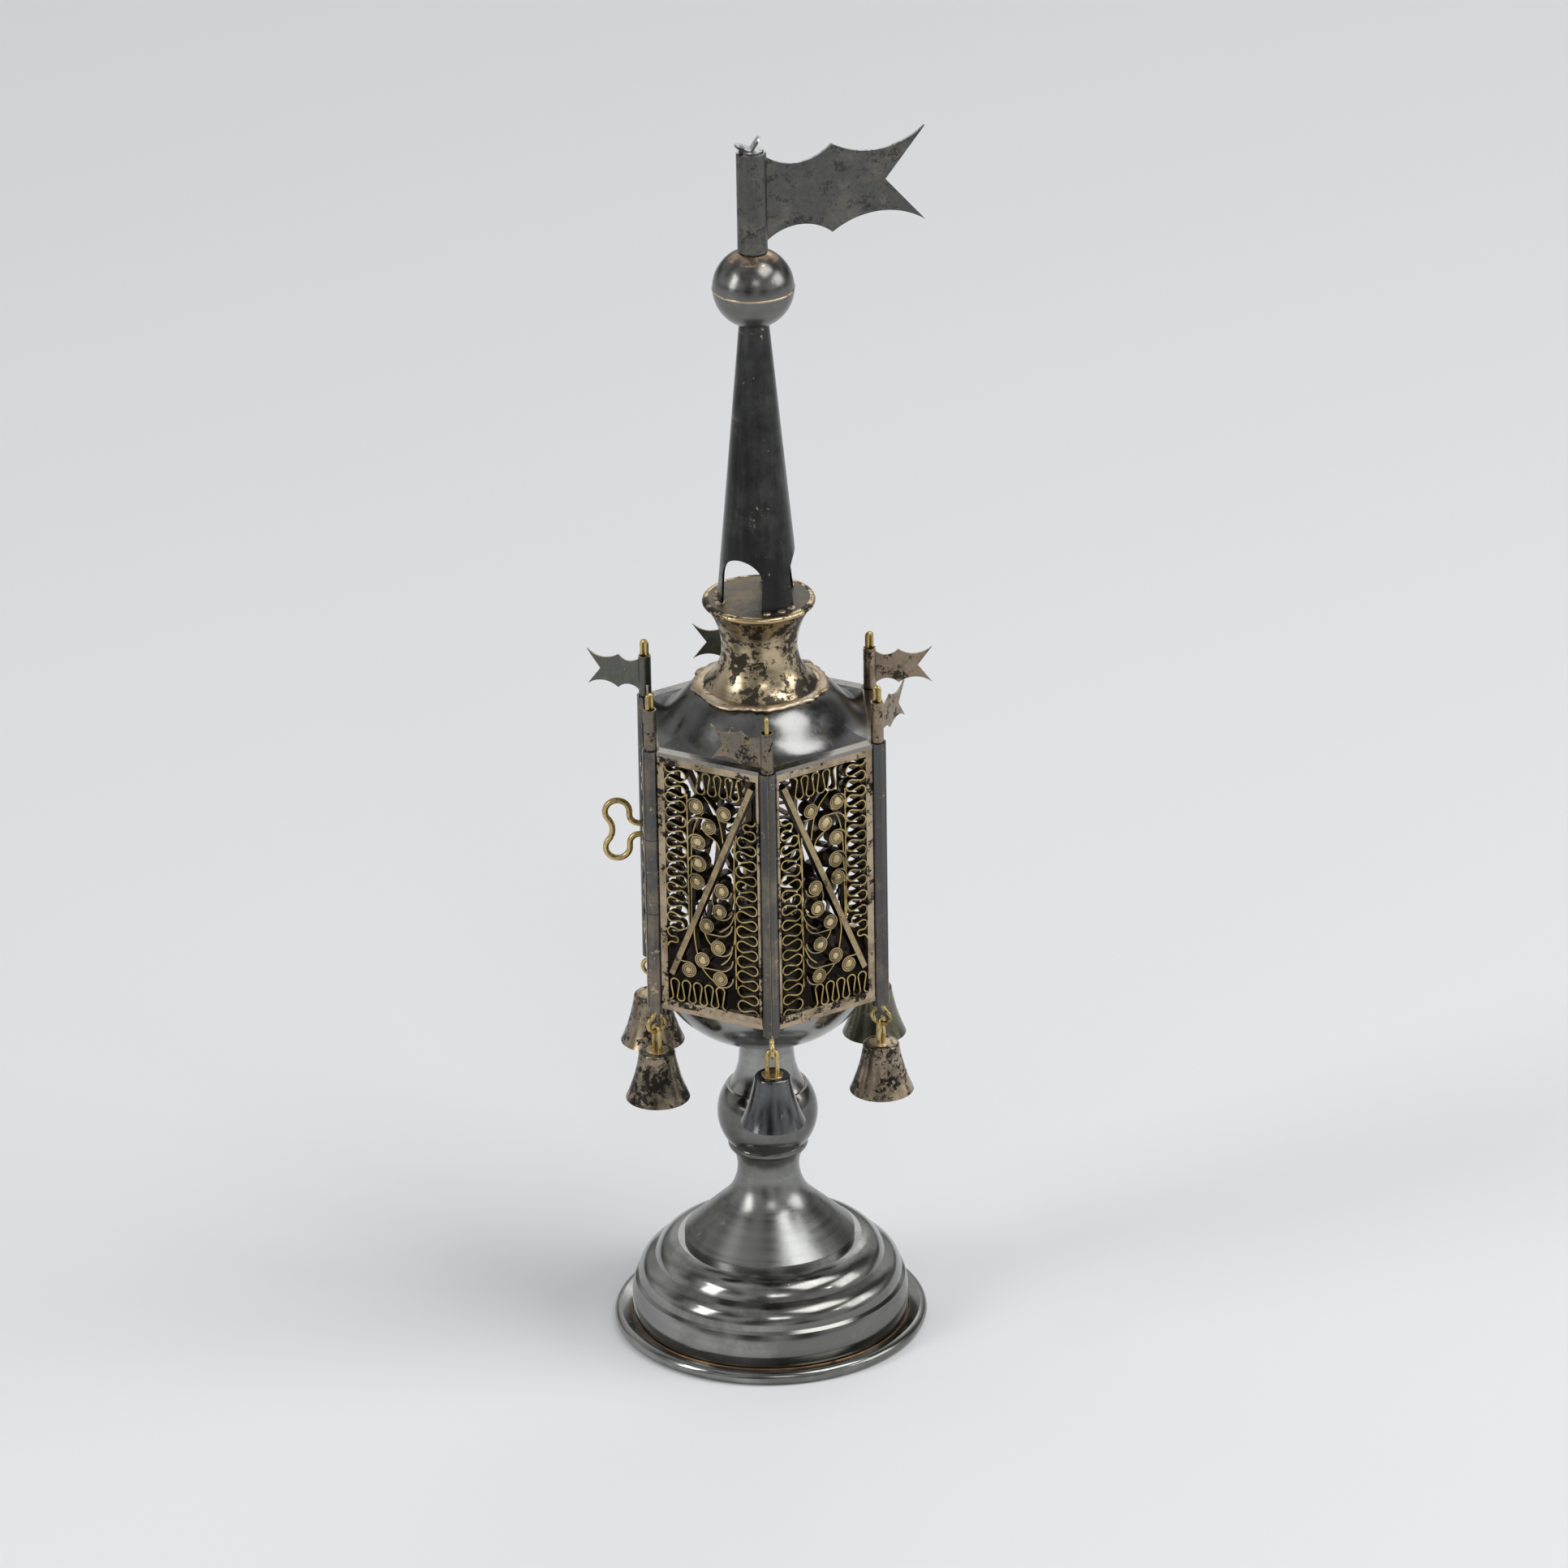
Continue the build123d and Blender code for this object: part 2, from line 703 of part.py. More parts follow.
# Corner wires: a hairpin through each post, closed below the post by an eye
def corner_wire(index):
    plane = upright(index, corner_turn(index))
    head = post_top + wire_head
    bend = (wire_spread + eye_bend_radius, post_bottom - eye_stub)
    turn = degrees(atan2(eye_centre - bend[1], eye_flat / 2 - bend[0])) % 360
    with BuildLine(plane) as path:
        Line((-wire_spread, post_bottom), (-wire_spread, head))
        CenterArc((0, head), wire_spread, 180, -180)
        Line((wire_spread, head), (wire_spread, bend[1]))
        CenterArc(bend, eye_bend_radius, 180, turn - 180)
        CenterArc((eye_flat / 2, eye_centre), eye_radius, turn - 180, 90 - turn)
        Line((eye_flat / 2, eye_pivot), (-eye_flat / 2, eye_pivot))
        CenterArc((-eye_flat / 2, eye_centre), eye_radius, -90, -eye_close_angle)
    start = plane.from_local_coords((-wire_spread, post_bottom, 0))
    with BuildSketch(Plane(origin=start, z_dir=(0, 0, 1))) as section:
        Circle(wire_radius)
    sweep(section.sketch, path=path.wires()[0])


with BuildPart() as corner_wires:
    for index in range(len(corners)):
        corner_wire(index)
write("corner_wires", corner_wires.part)


# Flags
def pennant(plane, root, length, half_height, thickness):
    """Swallow-tailed flag with scalloped edges, standing out along the plane's local X."""
    cusp = (length * flag_cusp_at, half_height * flag_cusp)
    tip = (length, half_height * flag_tip)
    dip = half_height * flag_dip
    with BuildSketch(plane) as outline:
        with BuildLine():
            Line((root, -half_height), (root, half_height))
            for way in (1, -1):
                edge = [(root, way * half_height), (cusp[0], way * cusp[1]), (tip[0], way * tip[1])]
                for start, end in zip(edge, edge[1:]):
                    ThreePointArc(start, ((start[0] + end[0]) / 2, way * dip), end)
                Line(edge[-1], (length * flag_notch, 0))
        make_face()
    extrude(outline.sketch, amount=thickness / 2, both=True)


def sleeve(centre, bottom, length, radius, wall):
    with BuildSketch(Plane.XY.offset(bottom)) as ring:
        with Locations(centre):
            Circle(radius)
            Circle(radius - wall, mode=Mode.SUBTRACT)
    extrude(ring.sketch, amount=length)


for index, corner in enumerate(corners):
    bottom = post_top + turning_gap
    with BuildPart() as flag:
        sleeve(
            around(post_circle_radius, corner_turn(index)),
            bottom,
            flag_sleeve_length,
            flag_sleeve_radius,
            flag_sleeve_wall,
        )
        pennant(
            upright(index, flag_turns[index], bottom + flag_sleeve_length / 2),
            flag_sleeve_radius - flag_sleeve_wall / 2,
            flag_length,
            flag_half_height,
            flag_sheet,
        )
    write(f"flag_{corner}", flag.part)


# Bells
for index, corner in enumerate(corners):
    turn = corner_turn(index)
    hang = around(post_circle_radius, turn)
    rim = bell_crown - bell_height
    shoulder = bell_crown - bell_shoulder
    with BuildPart() as bell:
        with BuildSketch(upright(index, turn)):
            with BuildLine():
                Polyline(
                    (bell_crown_radius - bell_wall, shoulder),
                    (bell_crown_radius - bell_wall, bell_crown - bell_wall),
                    (0, bell_crown - bell_wall),
                    (0, bell_crown),
                    (bell_crown_radius - bell_shoulder, bell_crown),
                )
                CenterArc((bell_crown_radius - bell_shoulder, shoulder), bell_shoulder, 90, -90)
                SagittaArc((bell_crown_radius, shoulder), (bell_mouth_radius, rim), -bell_flare)
                Line((bell_mouth_radius, rim), (bell_mouth_radius - bell_wall, rim))
                inner_top = (bell_crown_radius - bell_wall, shoulder)
                SagittaArc(inner_top, (bell_mouth_radius - bell_wall, rim), -bell_flare)
            make_face()
        revolve(axis=Axis(hang, (0, 0, 1)))
        with BuildSketch(Plane.XY.offset(bell_crown)):
            for way in (1, -1):
                across = around(way * loop_radius, turn + 90)
                with Locations((hang[0] + across[0], hang[1] + across[1])):
                    Circle(wire_radius + solder_gap)
        extrude(amount=-bell_wall, mode=Mode.SUBTRACT)
    write(f"bell_{corner}", bell.part)

    loop_plane = upright(index, turn + 90)
    loop_start = bell_crown - bell_wall / 2
    loop_corner_at = loop_radius - loop_corner
    with BuildPart() as bell_loop:
        with BuildLine(loop_plane) as loop_path:
            Line((-loop_radius, loop_start), (-loop_radius, eye_pivot))
            CenterArc((0, eye_pivot), loop_radius, 180, -180)
            Line((loop_radius, eye_pivot), (loop_radius, loop_pivot + loop_corner))
            CenterArc((loop_corner_at, loop_pivot + loop_corner), loop_corner, 0, -90)
            Line((loop_corner_at, loop_pivot), (-loop_corner_at, loop_pivot))
            CenterArc((-loop_corner_at, loop_pivot + loop_corner), loop_corner, -90, -90)
            Line((-loop_radius, loop_pivot + loop_corner), (-loop_radius, loop_start - loop_end_gap))
        loop_origin = loop_plane.from_local_coords((-loop_radius, loop_start, 0))
        with BuildSketch(Plane(origin=loop_origin, z_dir=(0, 0, 1))):
            Circle(wire_radius)
        sweep(path=loop_path.wires()[0])
    write(f"bell_loop_{corner}", bell_loop.part)

    ring_radius = wire_radius + turning_gap + clapper_wire / 2
    with BuildPart() as clapper:
        with Locations(Plane(origin=(hang[0], hang[1], loop_pivot), z_dir=around(1, turn + 90)).location):
            Torus(ring_radius, clapper_wire / 2)
        with BuildSketch(Plane.XY.offset(loop_pivot - ring_radius)):
            with Locations(hang):
                Circle(clapper_wire / 2)
        extrude(amount=ring_radius - clapper_length)
        with Locations((hang[0], hang[1], loop_pivot - clapper_length)):
            Sphere(clapper_bead_radius)
    write(f"clapper_{corner}", clapper.part)


# Roof
def roof_section(height, corner, middle):
    """Six-sided section whose sides bow out from straight to round."""
    with BuildSketch(Plane.XY.offset(height)) as section:
        with BuildLine():
            for k in range(6):
                turn = corner_turn(k)
                ThreePointArc(around(corner, turn), around(middle, turn + 30), around(corner, turn + 60))
        make_face()
    return section.sketch


def roof_loft(foot, shift, mode):
    """Roof from its six-sided edge at the height foot to its round top, moved in and down by shift."""
    brim_corner = post_circle_radius - post_radius - 2 * solder_gap - 2 * shift
    foot_corner = roof_foot_radius + roof_wall - shift
    shoulder = roof_shoulder_radius - shift
    top = roof_top_radius - shift
    sections = [
        roof_section(foot, brim_corner, brim_corner * cos(radians(30)) + solder_gap),
        roof_section(roof_edge + roof_foot_rise - shift, foot_corner, roof_foot_radius - shift),
        roof_section(roof_edge + roof_shoulder_rise - shift, shoulder, shoulder),
        roof_section(roof_top - shift, top, top),
    ]
    loft(sections, mode=mode)


with BuildPart() as roof:
    roof_loft(roof_edge, 0, Mode.ADD)
    with BuildSketch(Plane.XY.offset(panel_top)):
        RegularPolygon(side_apothem + frame_depth / 2, 6, major_radius=False, rotation=30)
        with PolarLocations(post_circle_radius, 6, start_angle=corner_turn(0)):
            Circle(post_radius + solder_gap, mode=Mode.SUBTRACT)
    extrude(amount=roof_flange)
    roof_loft(panel_top, roof_wall, Mode.SUBTRACT)
write("roof", roof.part)


# Collar
def collar_line(shift):
    """Spool curve of the collar from its foot over its waist to its rim, moved in by shift."""
    waist = (collar_waist_radius - shift, roof_top + collar_waist_rise)
    rim = (collar_rim_radius - collar_rim_height / 2 - shift, collar_top - collar_rim_height)
    TangentArc(waist, (collar_foot_radius - shift, roof_top + collar_foot_rise), tangent=(0, -1))
    TangentArc(waist, rim, tangent=(0, 1))


with BuildPart() as neck_collar:
    with BuildSketch(Plane.XZ):
        with BuildLine():
            collar_line(0)
            collar_line(collar_wall)
            Polyline(
                (collar_foot_radius, roof_top + collar_foot_rise),
                (collar_foot_radius + collar_flange, roof_top + collar_flange),
                (collar_flange_radius, roof_top + collar_flange),
                (collar_flange_radius, roof_top),
                (collar_foot_radius - collar_wall, roof_top),
                (collar_foot_radius - collar_wall, roof_top + collar_foot_rise),
            )
            CenterArc(
                (collar_rim_radius - collar_rim_height / 2, collar_top - collar_rim_height / 2),
                collar_rim_height / 2,
                -90,
                180,
            )
            Polyline(
                (collar_rim_radius - collar_rim_height / 2, collar_top),
                (plate_radius + solder_gap, collar_top),
                (plate_radius + solder_gap, collar_top - plate_thickness),
                (plate_radius - plate_ledge, collar_top - plate_thickness),
                (collar_rim_radius - collar_rim_height / 2 - collar_wall, collar_top - collar_rim_height),
            )
        make_face()
    revolve(axis=Axis.Z)
write("neck_collar", neck_collar.part)

with BuildPart() as collar_plate:
    with BuildSketch(Plane.XY.offset(collar_top - plate_thickness)):
        Circle(plate_radius)
    extrude(amount=plate_thickness)
write("collar_plate", collar_plate.part)

# Spire on its three legs
with BuildPart() as spire:
    with BuildSketch(Plane.XZ):
        with BuildLine():
            Polyline(
                (spire_foot_radius, collar_top),
                (spire_top_radius, spire_top),
                (spire_top_radius - spire_wall, spire_top),
                (spire_foot_radius - spire_wall, collar_top),
                close=True,
            )
        make_face()
    revolve(axis=Axis.Z)
    for k in range(3):
        turn = arch_turn + 120 * k
        arch_spring = arch_height - arch_width / 2
        arch_plane = Plane(origin=(0, 0, collar_top), x_dir=around(1, turn + 90), z_dir=around(1, turn))
        with BuildSketch(arch_plane):
            with BuildLine():
                Polyline(
                    (-arch_width / 2, arch_spring),
                    (-arch_width / 2, 0),
                    (arch_width / 2, 0),
                    (arch_width / 2, arch_spring),
                )
                CenterArc((0, arch_spring), arch_width / 2, 0, 180)
            make_face()
        extrude(amount=spire_foot_radius * 2, mode=Mode.SUBTRACT)
write("spire", spire.part)

# Ball in two halves
inner_radius = ball_radius - ball_wall
inner_flat = sqrt(inner_radius**2 - (ball_rise - ball_wall) ** 2)
with BuildPart() as ball_lower:
    with BuildSketch(Plane.XZ):
        with BuildLine():
            Polyline((0, ball_centre - ball_rise + ball_wall), (0, spire_top), (spire_top_radius, spire_top))
            lower_turn = -degrees(atan2(ball_rise, spire_top_radius))
            CenterArc((0, ball_centre), ball_radius, lower_turn, -lower_turn)
            Line((ball_radius, ball_centre), (inner_radius, ball_centre))
            inner_turn = -degrees(atan2(ball_rise - ball_wall, inner_flat))
            CenterArc((0, ball_centre), inner_radius, inner_turn, -inner_turn)
            Line((inner_flat, spire_top + ball_wall), (0, spire_top + ball_wall))
        make_face()
    revolve(axis=Axis.Z)
write("ball_lower", ball_lower.part)

with BuildPart() as ball_upper:
    with BuildSketch(Plane.XZ):
        with BuildLine():
            bore = spindle_radius + spindle_fit
            Polyline(
                (inner_flat, ball_top - ball_wall),
                (bore, ball_top - ball_wall),
                (bore, ball_top),
                (spire_top_radius, ball_top),
            )
            CenterArc((0, ball_centre), ball_radius, 0, -lower_turn)
            Line((ball_radius, ball_centre), (inner_radius, ball_centre))
            CenterArc((0, ball_centre), inner_radius, 0, -inner_turn)
        make_face()
    revolve(axis=Axis.Z)
write("ball_upper", ball_upper.part)

# Spindle with two tabs bent over the big flag's sleeve
spindle_top = big_sleeve_top + spindle_head
with BuildPart() as spindle:
    with BuildSketch(Plane.XY.offset(spire_top + ball_wall)):
        Circle(spindle_radius)
    extrude(amount=spindle_top - spire_top - ball_wall)
    for k, tilt in enumerate(tab_tilts):
        turn = 180 * (1 - k)
        rise = around(cos(radians(tilt)), turn, sin(radians(tilt)))
        fall = around(-sin(radians(tilt)), turn, cos(radians(tilt)))
        with BuildSketch(Plane(origin=(0, 0, spindle_top - tab_thickness), x_dir=rise, z_dir=fall)):
            with BuildLine():
                Polyline(
                    (tab_length - tab_width / 2, tab_width / 2),
                    (0, tab_width / 2),
                    (0, -tab_width / 2),
                    (tab_length - tab_width / 2, -tab_width / 2),
                )
                CenterArc((tab_length - tab_width / 2, 0), tab_width / 2, -90, 180)
            make_face()
        extrude(amount=tab_thickness)
write("spindle", spindle.part)

with BuildPart() as big_flag:
    big_sleeve_wall = big_sleeve_radius - spindle_radius - spindle_fit
    sleeve((0, 0), big_sleeve_bottom, big_sleeve_length, big_sleeve_radius, big_sleeve_wall)
    pennant(
        Plane(
            origin=(0, 0, big_sleeve_bottom + big_sleeve_length / 2),
            x_dir=around(1, big_flag_turn),
            z_dir=around(1, big_flag_turn - 90),
        ),
        big_sleeve_radius - big_sleeve_wall / 2,
        big_flag_length,
        big_flag_half_height,
        big_flag_sheet,
    )
write("big_flag", big_flag.part)
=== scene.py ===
"""Looks of the spice tower: finishes for its solids, solder, filigree tendrils and the studio around it."""

import json
import logging
import math
from dataclasses import dataclass, replace
from enum import Enum
from typing import Any, Optional

import bmesh
import bpy
from mathutils import Matrix, Vector, noise


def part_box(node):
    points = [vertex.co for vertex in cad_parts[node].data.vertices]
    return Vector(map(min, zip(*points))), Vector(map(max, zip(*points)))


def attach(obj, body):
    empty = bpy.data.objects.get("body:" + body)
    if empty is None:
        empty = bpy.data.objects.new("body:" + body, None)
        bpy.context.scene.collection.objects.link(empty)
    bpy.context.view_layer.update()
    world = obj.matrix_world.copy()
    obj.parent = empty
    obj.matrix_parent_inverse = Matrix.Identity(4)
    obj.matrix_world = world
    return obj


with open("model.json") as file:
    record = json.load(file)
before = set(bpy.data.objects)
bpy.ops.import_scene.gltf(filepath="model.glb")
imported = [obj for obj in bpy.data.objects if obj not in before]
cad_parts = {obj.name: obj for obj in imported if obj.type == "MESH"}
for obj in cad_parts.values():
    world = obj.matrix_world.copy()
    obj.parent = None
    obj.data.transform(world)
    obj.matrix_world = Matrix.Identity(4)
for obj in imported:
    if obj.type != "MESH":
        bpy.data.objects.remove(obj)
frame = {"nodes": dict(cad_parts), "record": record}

LOG = logging.getLogger("spice_tower")
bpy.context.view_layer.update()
MM = 0.001
UP = Vector((0.0, 0.0, 1.0))
CORNERS = ("front", "front_right", "back_right", "back", "back_left", "front_left")
# Distance from the tower's axis to the panels' plane, and to where the bars and then the coils rise over it.
SIDE_APOTHEM = 21.2176
FILIGREE_STEPS = (SIDE_APOTHEM + 0.8, SIDE_APOTHEM + 1.15)
# Blotches in a finish: noise waves to a blotch's width, waves and weight of the clouds that they gather in,
# the noise value at which half the surface is covered, and how far it moves between none and all.
BLOTCH_WAVES = 0.5
CLOUD_WAVES = 0.11
CLOUD_WEIGHT = 0.7
HALF_COVERED = 0.85
COVER_SPAN = 0.5
# Noise values between which fine lines go from dark to light.
LINE_SPAN = (0.3, 0.7)
# Spun lines drift this much on their way round the axis, and rolled lines are stretched this much upright.
SPUN_DRIFT = 0.03
ROLLED_STRETCH = (1.0, 1.0, 0.04)
# Parts of a normal that count as facing out from the axis, and as facing up or down.
FACING_OUT = (0.55, 0.8)
FACING_UP = (0.25, 0.5)
# Width and softness of the patches that a band of colour shows in.
BAND_PATCH_MM = 2.5
BAND_PATCH_SOFT = 0.04
# Unevenness of solder: weights of its slow and quick swells, and how many quick ones go to a slow one.
SLOW_WEIGHT = 0.7
QUICK_WEIGHT = 0.4
QUICK_TIMES = 3.1
# How far a drop's width changes round it, as a share, and its swells to a millimetre.
DROP_WANDER = 0.45
DROP_GRAIN = 0.9
# Vertices of a new piece that are this close are one.
WELD_MM = 0.002
# Places of the coils and of the tendrils between them, as shares of a frame's opening.
COILS = (
    (0.36, 0.857), (0.496, 0.781), (0.374, 0.707), (0.383, 0.616), (0.36, 0.538), (0.67, 0.845),
    (0.63, 0.516), (0.604, 0.426), (0.462, 0.355), (0.583, 0.271), (0.406, 0.206), (0.601, 0.138),
    (0.25, 0.155),
)
TENDRILS = (
    ((0.27, 0.355), (0.274, 0.485), (0.279, 0.629), (0.291, 0.719), (0.34, 0.797), (0.426, 0.831)),
    ((0.436, 0.9), (0.532, 0.863), (0.596, 0.823), (0.632, 0.752), (0.64, 0.717)),
    ((0.447, 0.744), (0.553, 0.726), (0.596, 0.701), (0.606, 0.679)),
    ((0.787, 0.76), (0.76, 0.668), (0.747, 0.56), (0.755, 0.461), (0.751, 0.416)),
    ((0.751, 0.416), (0.713, 0.374), (0.649, 0.347), (0.585, 0.332)),
    ((0.76, 0.434), (0.76, 0.326), (0.73, 0.262), (0.67, 0.214), (0.596, 0.193)),
    ((0.526, 0.505), (0.504, 0.468), (0.521, 0.442), (0.553, 0.43)),
    ((0.33, 0.362), (0.3, 0.32), (0.315, 0.272), (0.334, 0.228), (0.362, 0.184), (0.426, 0.142),
     (0.543, 0.112)),
    ((0.404, 0.352), (0.426, 0.308), (0.468, 0.278), (0.532, 0.265)),
)


class Grain(Enum):
    """The way that a finish's fine lines run."""

    EVEN = "even"
    SPUN = "spun"
    UPRIGHT = "upright"


class Side(Enum):
    """A side of the box, in the order of the corners."""

    FRONT_RIGHT = 0
    RIGHT = 1
    BACK_RIGHT = 2
    BACK_LEFT = 3
    DOOR = 4
    FRONT_LEFT = 5

    @property
    def body(self) -> str:
        """Body that the side's pieces ride on."""
        return "door" if self is Side.DOOR else "tower"

    @property
    def frame_node(self) -> str:
        """CAD node of the side's frame."""
        return "door_frame" if self is Side.DOOR else f"panel_frame_{self.name.lower()}"

    @property
    def turn(self) -> float:
        """Angle from +X to the side's normal, in degrees."""
        return -60.0 + 60.0 * self.value

    @property
    def way_out(self) -> int:
        """1 where the bar rises to the right seen from outside, -1 where it is seen from inside."""
        return -1 if self.value % 2 == 0 else 1


def linear(hex_code: str) -> tuple[float, float, float, float]:
    """Turns an sRGB hex value to linear light.

    Args:
        hex_code: Six hex digits, with or without a leading #.

    Returns:
        Red, green, blue and full alpha, as a shader takes them.
    """
    digits = hex_code.lstrip("#")
    parts = [int(digits[i:i + 2], 16) / 255 for i in (0, 2, 4)]
    light = [c / 12.92 if c <= 0.04045 else ((c + 0.055) / 1.055) ** 2.4 for c in parts]
    return (light[0], light[1], light[2], 1.0)


def add_node(tree: bpy.types.NodeTree, kind: str, sockets: Optional[dict[Any, Any]] = None,
             **settings: Any) -> bpy.types.Node:
    """Adds a shader node with its settings, values and links.

    Args:
        tree: Node tree that gets the node.
        kind: Blender's name of the node type.
        sockets: Input name or place to a value, or to the output socket that is linked to it.
        settings: Properties of the node.

    Returns:
        The new node.
    """
    node = tree.nodes.new(kind)
    for key, value in settings.items():
        setattr(node, key, value)
    for key, value in (sockets or {}).items():
        if isinstance(value, bpy.types.NodeSocket):
            tree.links.new(value, node.inputs[key])
        else:
            node.inputs[key].default_value = value
    return node


def around(radius: float, turn: float, height: float = 0.0) -> Vector:
    """Point at a radius, a turn in degrees and a height.

    Args:
        radius: Distance from the tower's axis.
        turn: Angle from +X in degrees.
        height: Height over the table.

    Returns:
        The point.
    """
    return Vector((radius * math.cos(math.radians(turn)), radius * math.sin(math.radians(turn)), height))


@dataclass(frozen=True)
class Band:
    """Colour that shows through between two heights, in millimetres over the table."""

    colour: str
    low: float
    high: float
    share: float = 1.0


@dataclass(frozen=True)
class Patina:
    """Metal whose plate has worn to a second colour and is flecked with a third.

    The sizes are in millimetres, and the shares say how much of the surface a colour takes. Flecks are duller
    and lie deeper than the rest. Layers are the colours of faces that look out, in steps from the box
    outwards, and a part of them is lost where the plate is worn.
    """

    name: str
    ground: str
    worn: str
    fleck: str
    worn_mm: float
    worn_share: float
    fleck_mm: float
    fleck_share: float
    rough: tuple[float, float]
    grain: Grain = Grain.EVEN
    grain_mm: float = 0.4
    grain_depth: float = 0.3
    relief_mm: float = 0.03
    bands: tuple[Band, ...] = ()
    # Colour of a painted highlight on an upright sheet's cut edges, the faces that look up or down.
    edge: str = ""
    layers: tuple[str, ...] = ()
    worn_soft: float = 0.09
    fleck_soft: float = 0.03
    fleck_dull: float = 0.18
    fleck_depth: float = 0.6
    layer_lost: float = 0.5
    relief_strength: float = 0.6

    def mask(self, tree: bpy.types.NodeTree, place: bpy.types.NodeSocket, size_mm: float, share: float,
             soft: float) -> bpy.types.NodeSocket:
        """Ragged blotches that gather in places.

        Args:
            tree: Node tree.
            place: Coordinates in metres.
            size_mm: Usual width of a blotch.
            share: Part of the surface that the blotches cover.
            soft: Width of a blotch's edge, as noise value.

        Returns:
            Socket that is 1 inside the blotches.
        """
        fine = add_node(tree, "ShaderNodeTexNoise", {
            "Vector": place, "Scale": BLOTCH_WAVES / (size_mm * MM), "Detail": 8.0, "Roughness": 0.7})
        broad = add_node(tree, "ShaderNodeTexNoise", {
            "Vector": place, "Scale": CLOUD_WAVES / (size_mm * MM), "Detail": 2.0})
        cloud = add_node(tree, "ShaderNodeMath", {
            0: broad.outputs[0], 1: CLOUD_WEIGHT, 2: fine.outputs[0]}, operation="MULTIPLY_ADD")
        level = HALF_COVERED + COVER_SPAN * (0.5 - share)
        return add_node(tree, "ShaderNodeMapRange", {
            "Value": cloud.outputs[0], "From Min": level - soft, "From Max": level + soft}).outputs[0]

    def lines(self, tree: bpy.types.NodeTree, place: bpy.types.NodeSocket) -> bpy.types.NodeSocket:
        """Fine lines that spinning, rolling or rubbing left.

        Args:
            tree: Node tree.
            place: Coordinates in metres.

        Returns:
            Noise value along the grain.
        """
        if self.grain is Grain.SPUN:
            parts = add_node(tree, "ShaderNodeSeparateXYZ", {0: place})
            flat = add_node(tree, "ShaderNodeCombineXYZ", {0: parts.outputs[0], 1: parts.outputs[1]})
            radius = add_node(tree, "ShaderNodeVectorMath", {0: flat.outputs[0]}, operation="LENGTH")
            drift = add_node(tree, "ShaderNodeMath", {0: parts.outputs[0], 1: SPUN_DRIFT},
                             operation="MULTIPLY")
            place = add_node(tree, "ShaderNodeCombineXYZ", {
                0: radius.outputs["Value"], 1: parts.outputs[2], 2: drift.outputs[0]}).outputs[0]
        elif self.grain is Grain.UPRIGHT:
            place = add_node(tree, "ShaderNodeVectorMath", {0: place, 1: ROLLED_STRETCH},
                             operation="MULTIPLY").outputs[0]
        return add_node(tree, "ShaderNodeTexNoise", {
            "Vector": place, "Scale": BLOTCH_WAVES / (self.grain_mm * MM), "Detail": 3.0}).outputs[0]

    def side_depth(self, tree: bpy.types.NodeTree, place: bpy.types.NodeSocket) -> bpy.types.NodeSocket:
        """Distance from the tower's axis along the nearest of the six sides' normals.

        Args:
            tree: Node tree.
            place: Coordinates in metres.

        Returns:
            The distance in metres.
        """
        farthest = None
        for turn in (0, 60, 120):
            along = add_node(tree, "ShaderNodeVectorMath", {0: place, 1: around(1.0, turn)},
                             operation="DOT_PRODUCT").outputs["Value"]
            reach = add_node(tree, "ShaderNodeMath", {0: along}, operation="ABSOLUTE").outputs[0]
            if farthest is not None:
                reach = add_node(tree, "ShaderNodeMath", {0: reach, 1: farthest},
                                 operation="MAXIMUM").outputs[0]
            farthest = reach
        return farthest

    def outer_face(self, tree: bpy.types.NodeTree, place: bpy.types.NodeSocket,
                   facing: bpy.types.NodeSocket) -> bpy.types.NodeSocket:
        """Faces that look away from the tower's axis, which hands and cloths have rubbed.

        Args:
            tree: Node tree.
            place: Coordinates in metres.
            facing: Normal in the same coordinates.

        Returns:
            Socket that is 1 on such faces.
        """
        flat = add_node(tree, "ShaderNodeVectorMath", {0: place, 1: (1.0, 1.0, 0.0)}, operation="MULTIPLY")
        out = add_node(tree, "ShaderNodeVectorMath", {0: flat.outputs[0]}, operation="NORMALIZE")
        along = add_node(tree, "ShaderNodeVectorMath", {0: out.outputs[0], 1: facing},
                         operation="DOT_PRODUCT")
        return add_node(tree, "ShaderNodeMapRange", {
            "Value": along.outputs["Value"], "From Min": FACING_OUT[0], "From Max": FACING_OUT[1]}).outputs[0]

    def edge_highlight_mask(self, tree: bpy.types.NodeTree, facing: bpy.types.NodeSocket) -> bpy.types.NodeSocket:
        """Faces along an upright sheet's cut edges, where a highlight is painted.

        Args:
            tree: Node tree.
            facing: Normal in the piece's coordinates.

        Returns:
            Socket that is 1 on faces that look up or down.
        """
        parts = add_node(tree, "ShaderNodeSeparateXYZ", {0: facing})
        tilt = add_node(tree, "ShaderNodeMath", {0: parts.outputs[2]}, operation="ABSOLUTE")
        return add_node(tree, "ShaderNodeMapRange", {
            "Value": tilt.outputs[0], "From Min": FACING_UP[0], "From Max": FACING_UP[1]}).outputs[0]

    def blended(self, tree: bpy.types.NodeTree, share: bpy.types.NodeSocket, low: Any,
                high: Any) -> bpy.types.NodeSocket:
        """Mixes two colours.

        Args:
            tree: Node tree.
            share: Socket that is 0 for the low colour and 1 for the high one.
            low: Colour or socket.
            high: Colour or socket.

        Returns:
            The mixed colour.
        """
        return add_node(tree, "ShaderNodeMix", {0: share, 6: low, 7: high}, data_type="RGBA").outputs[2]

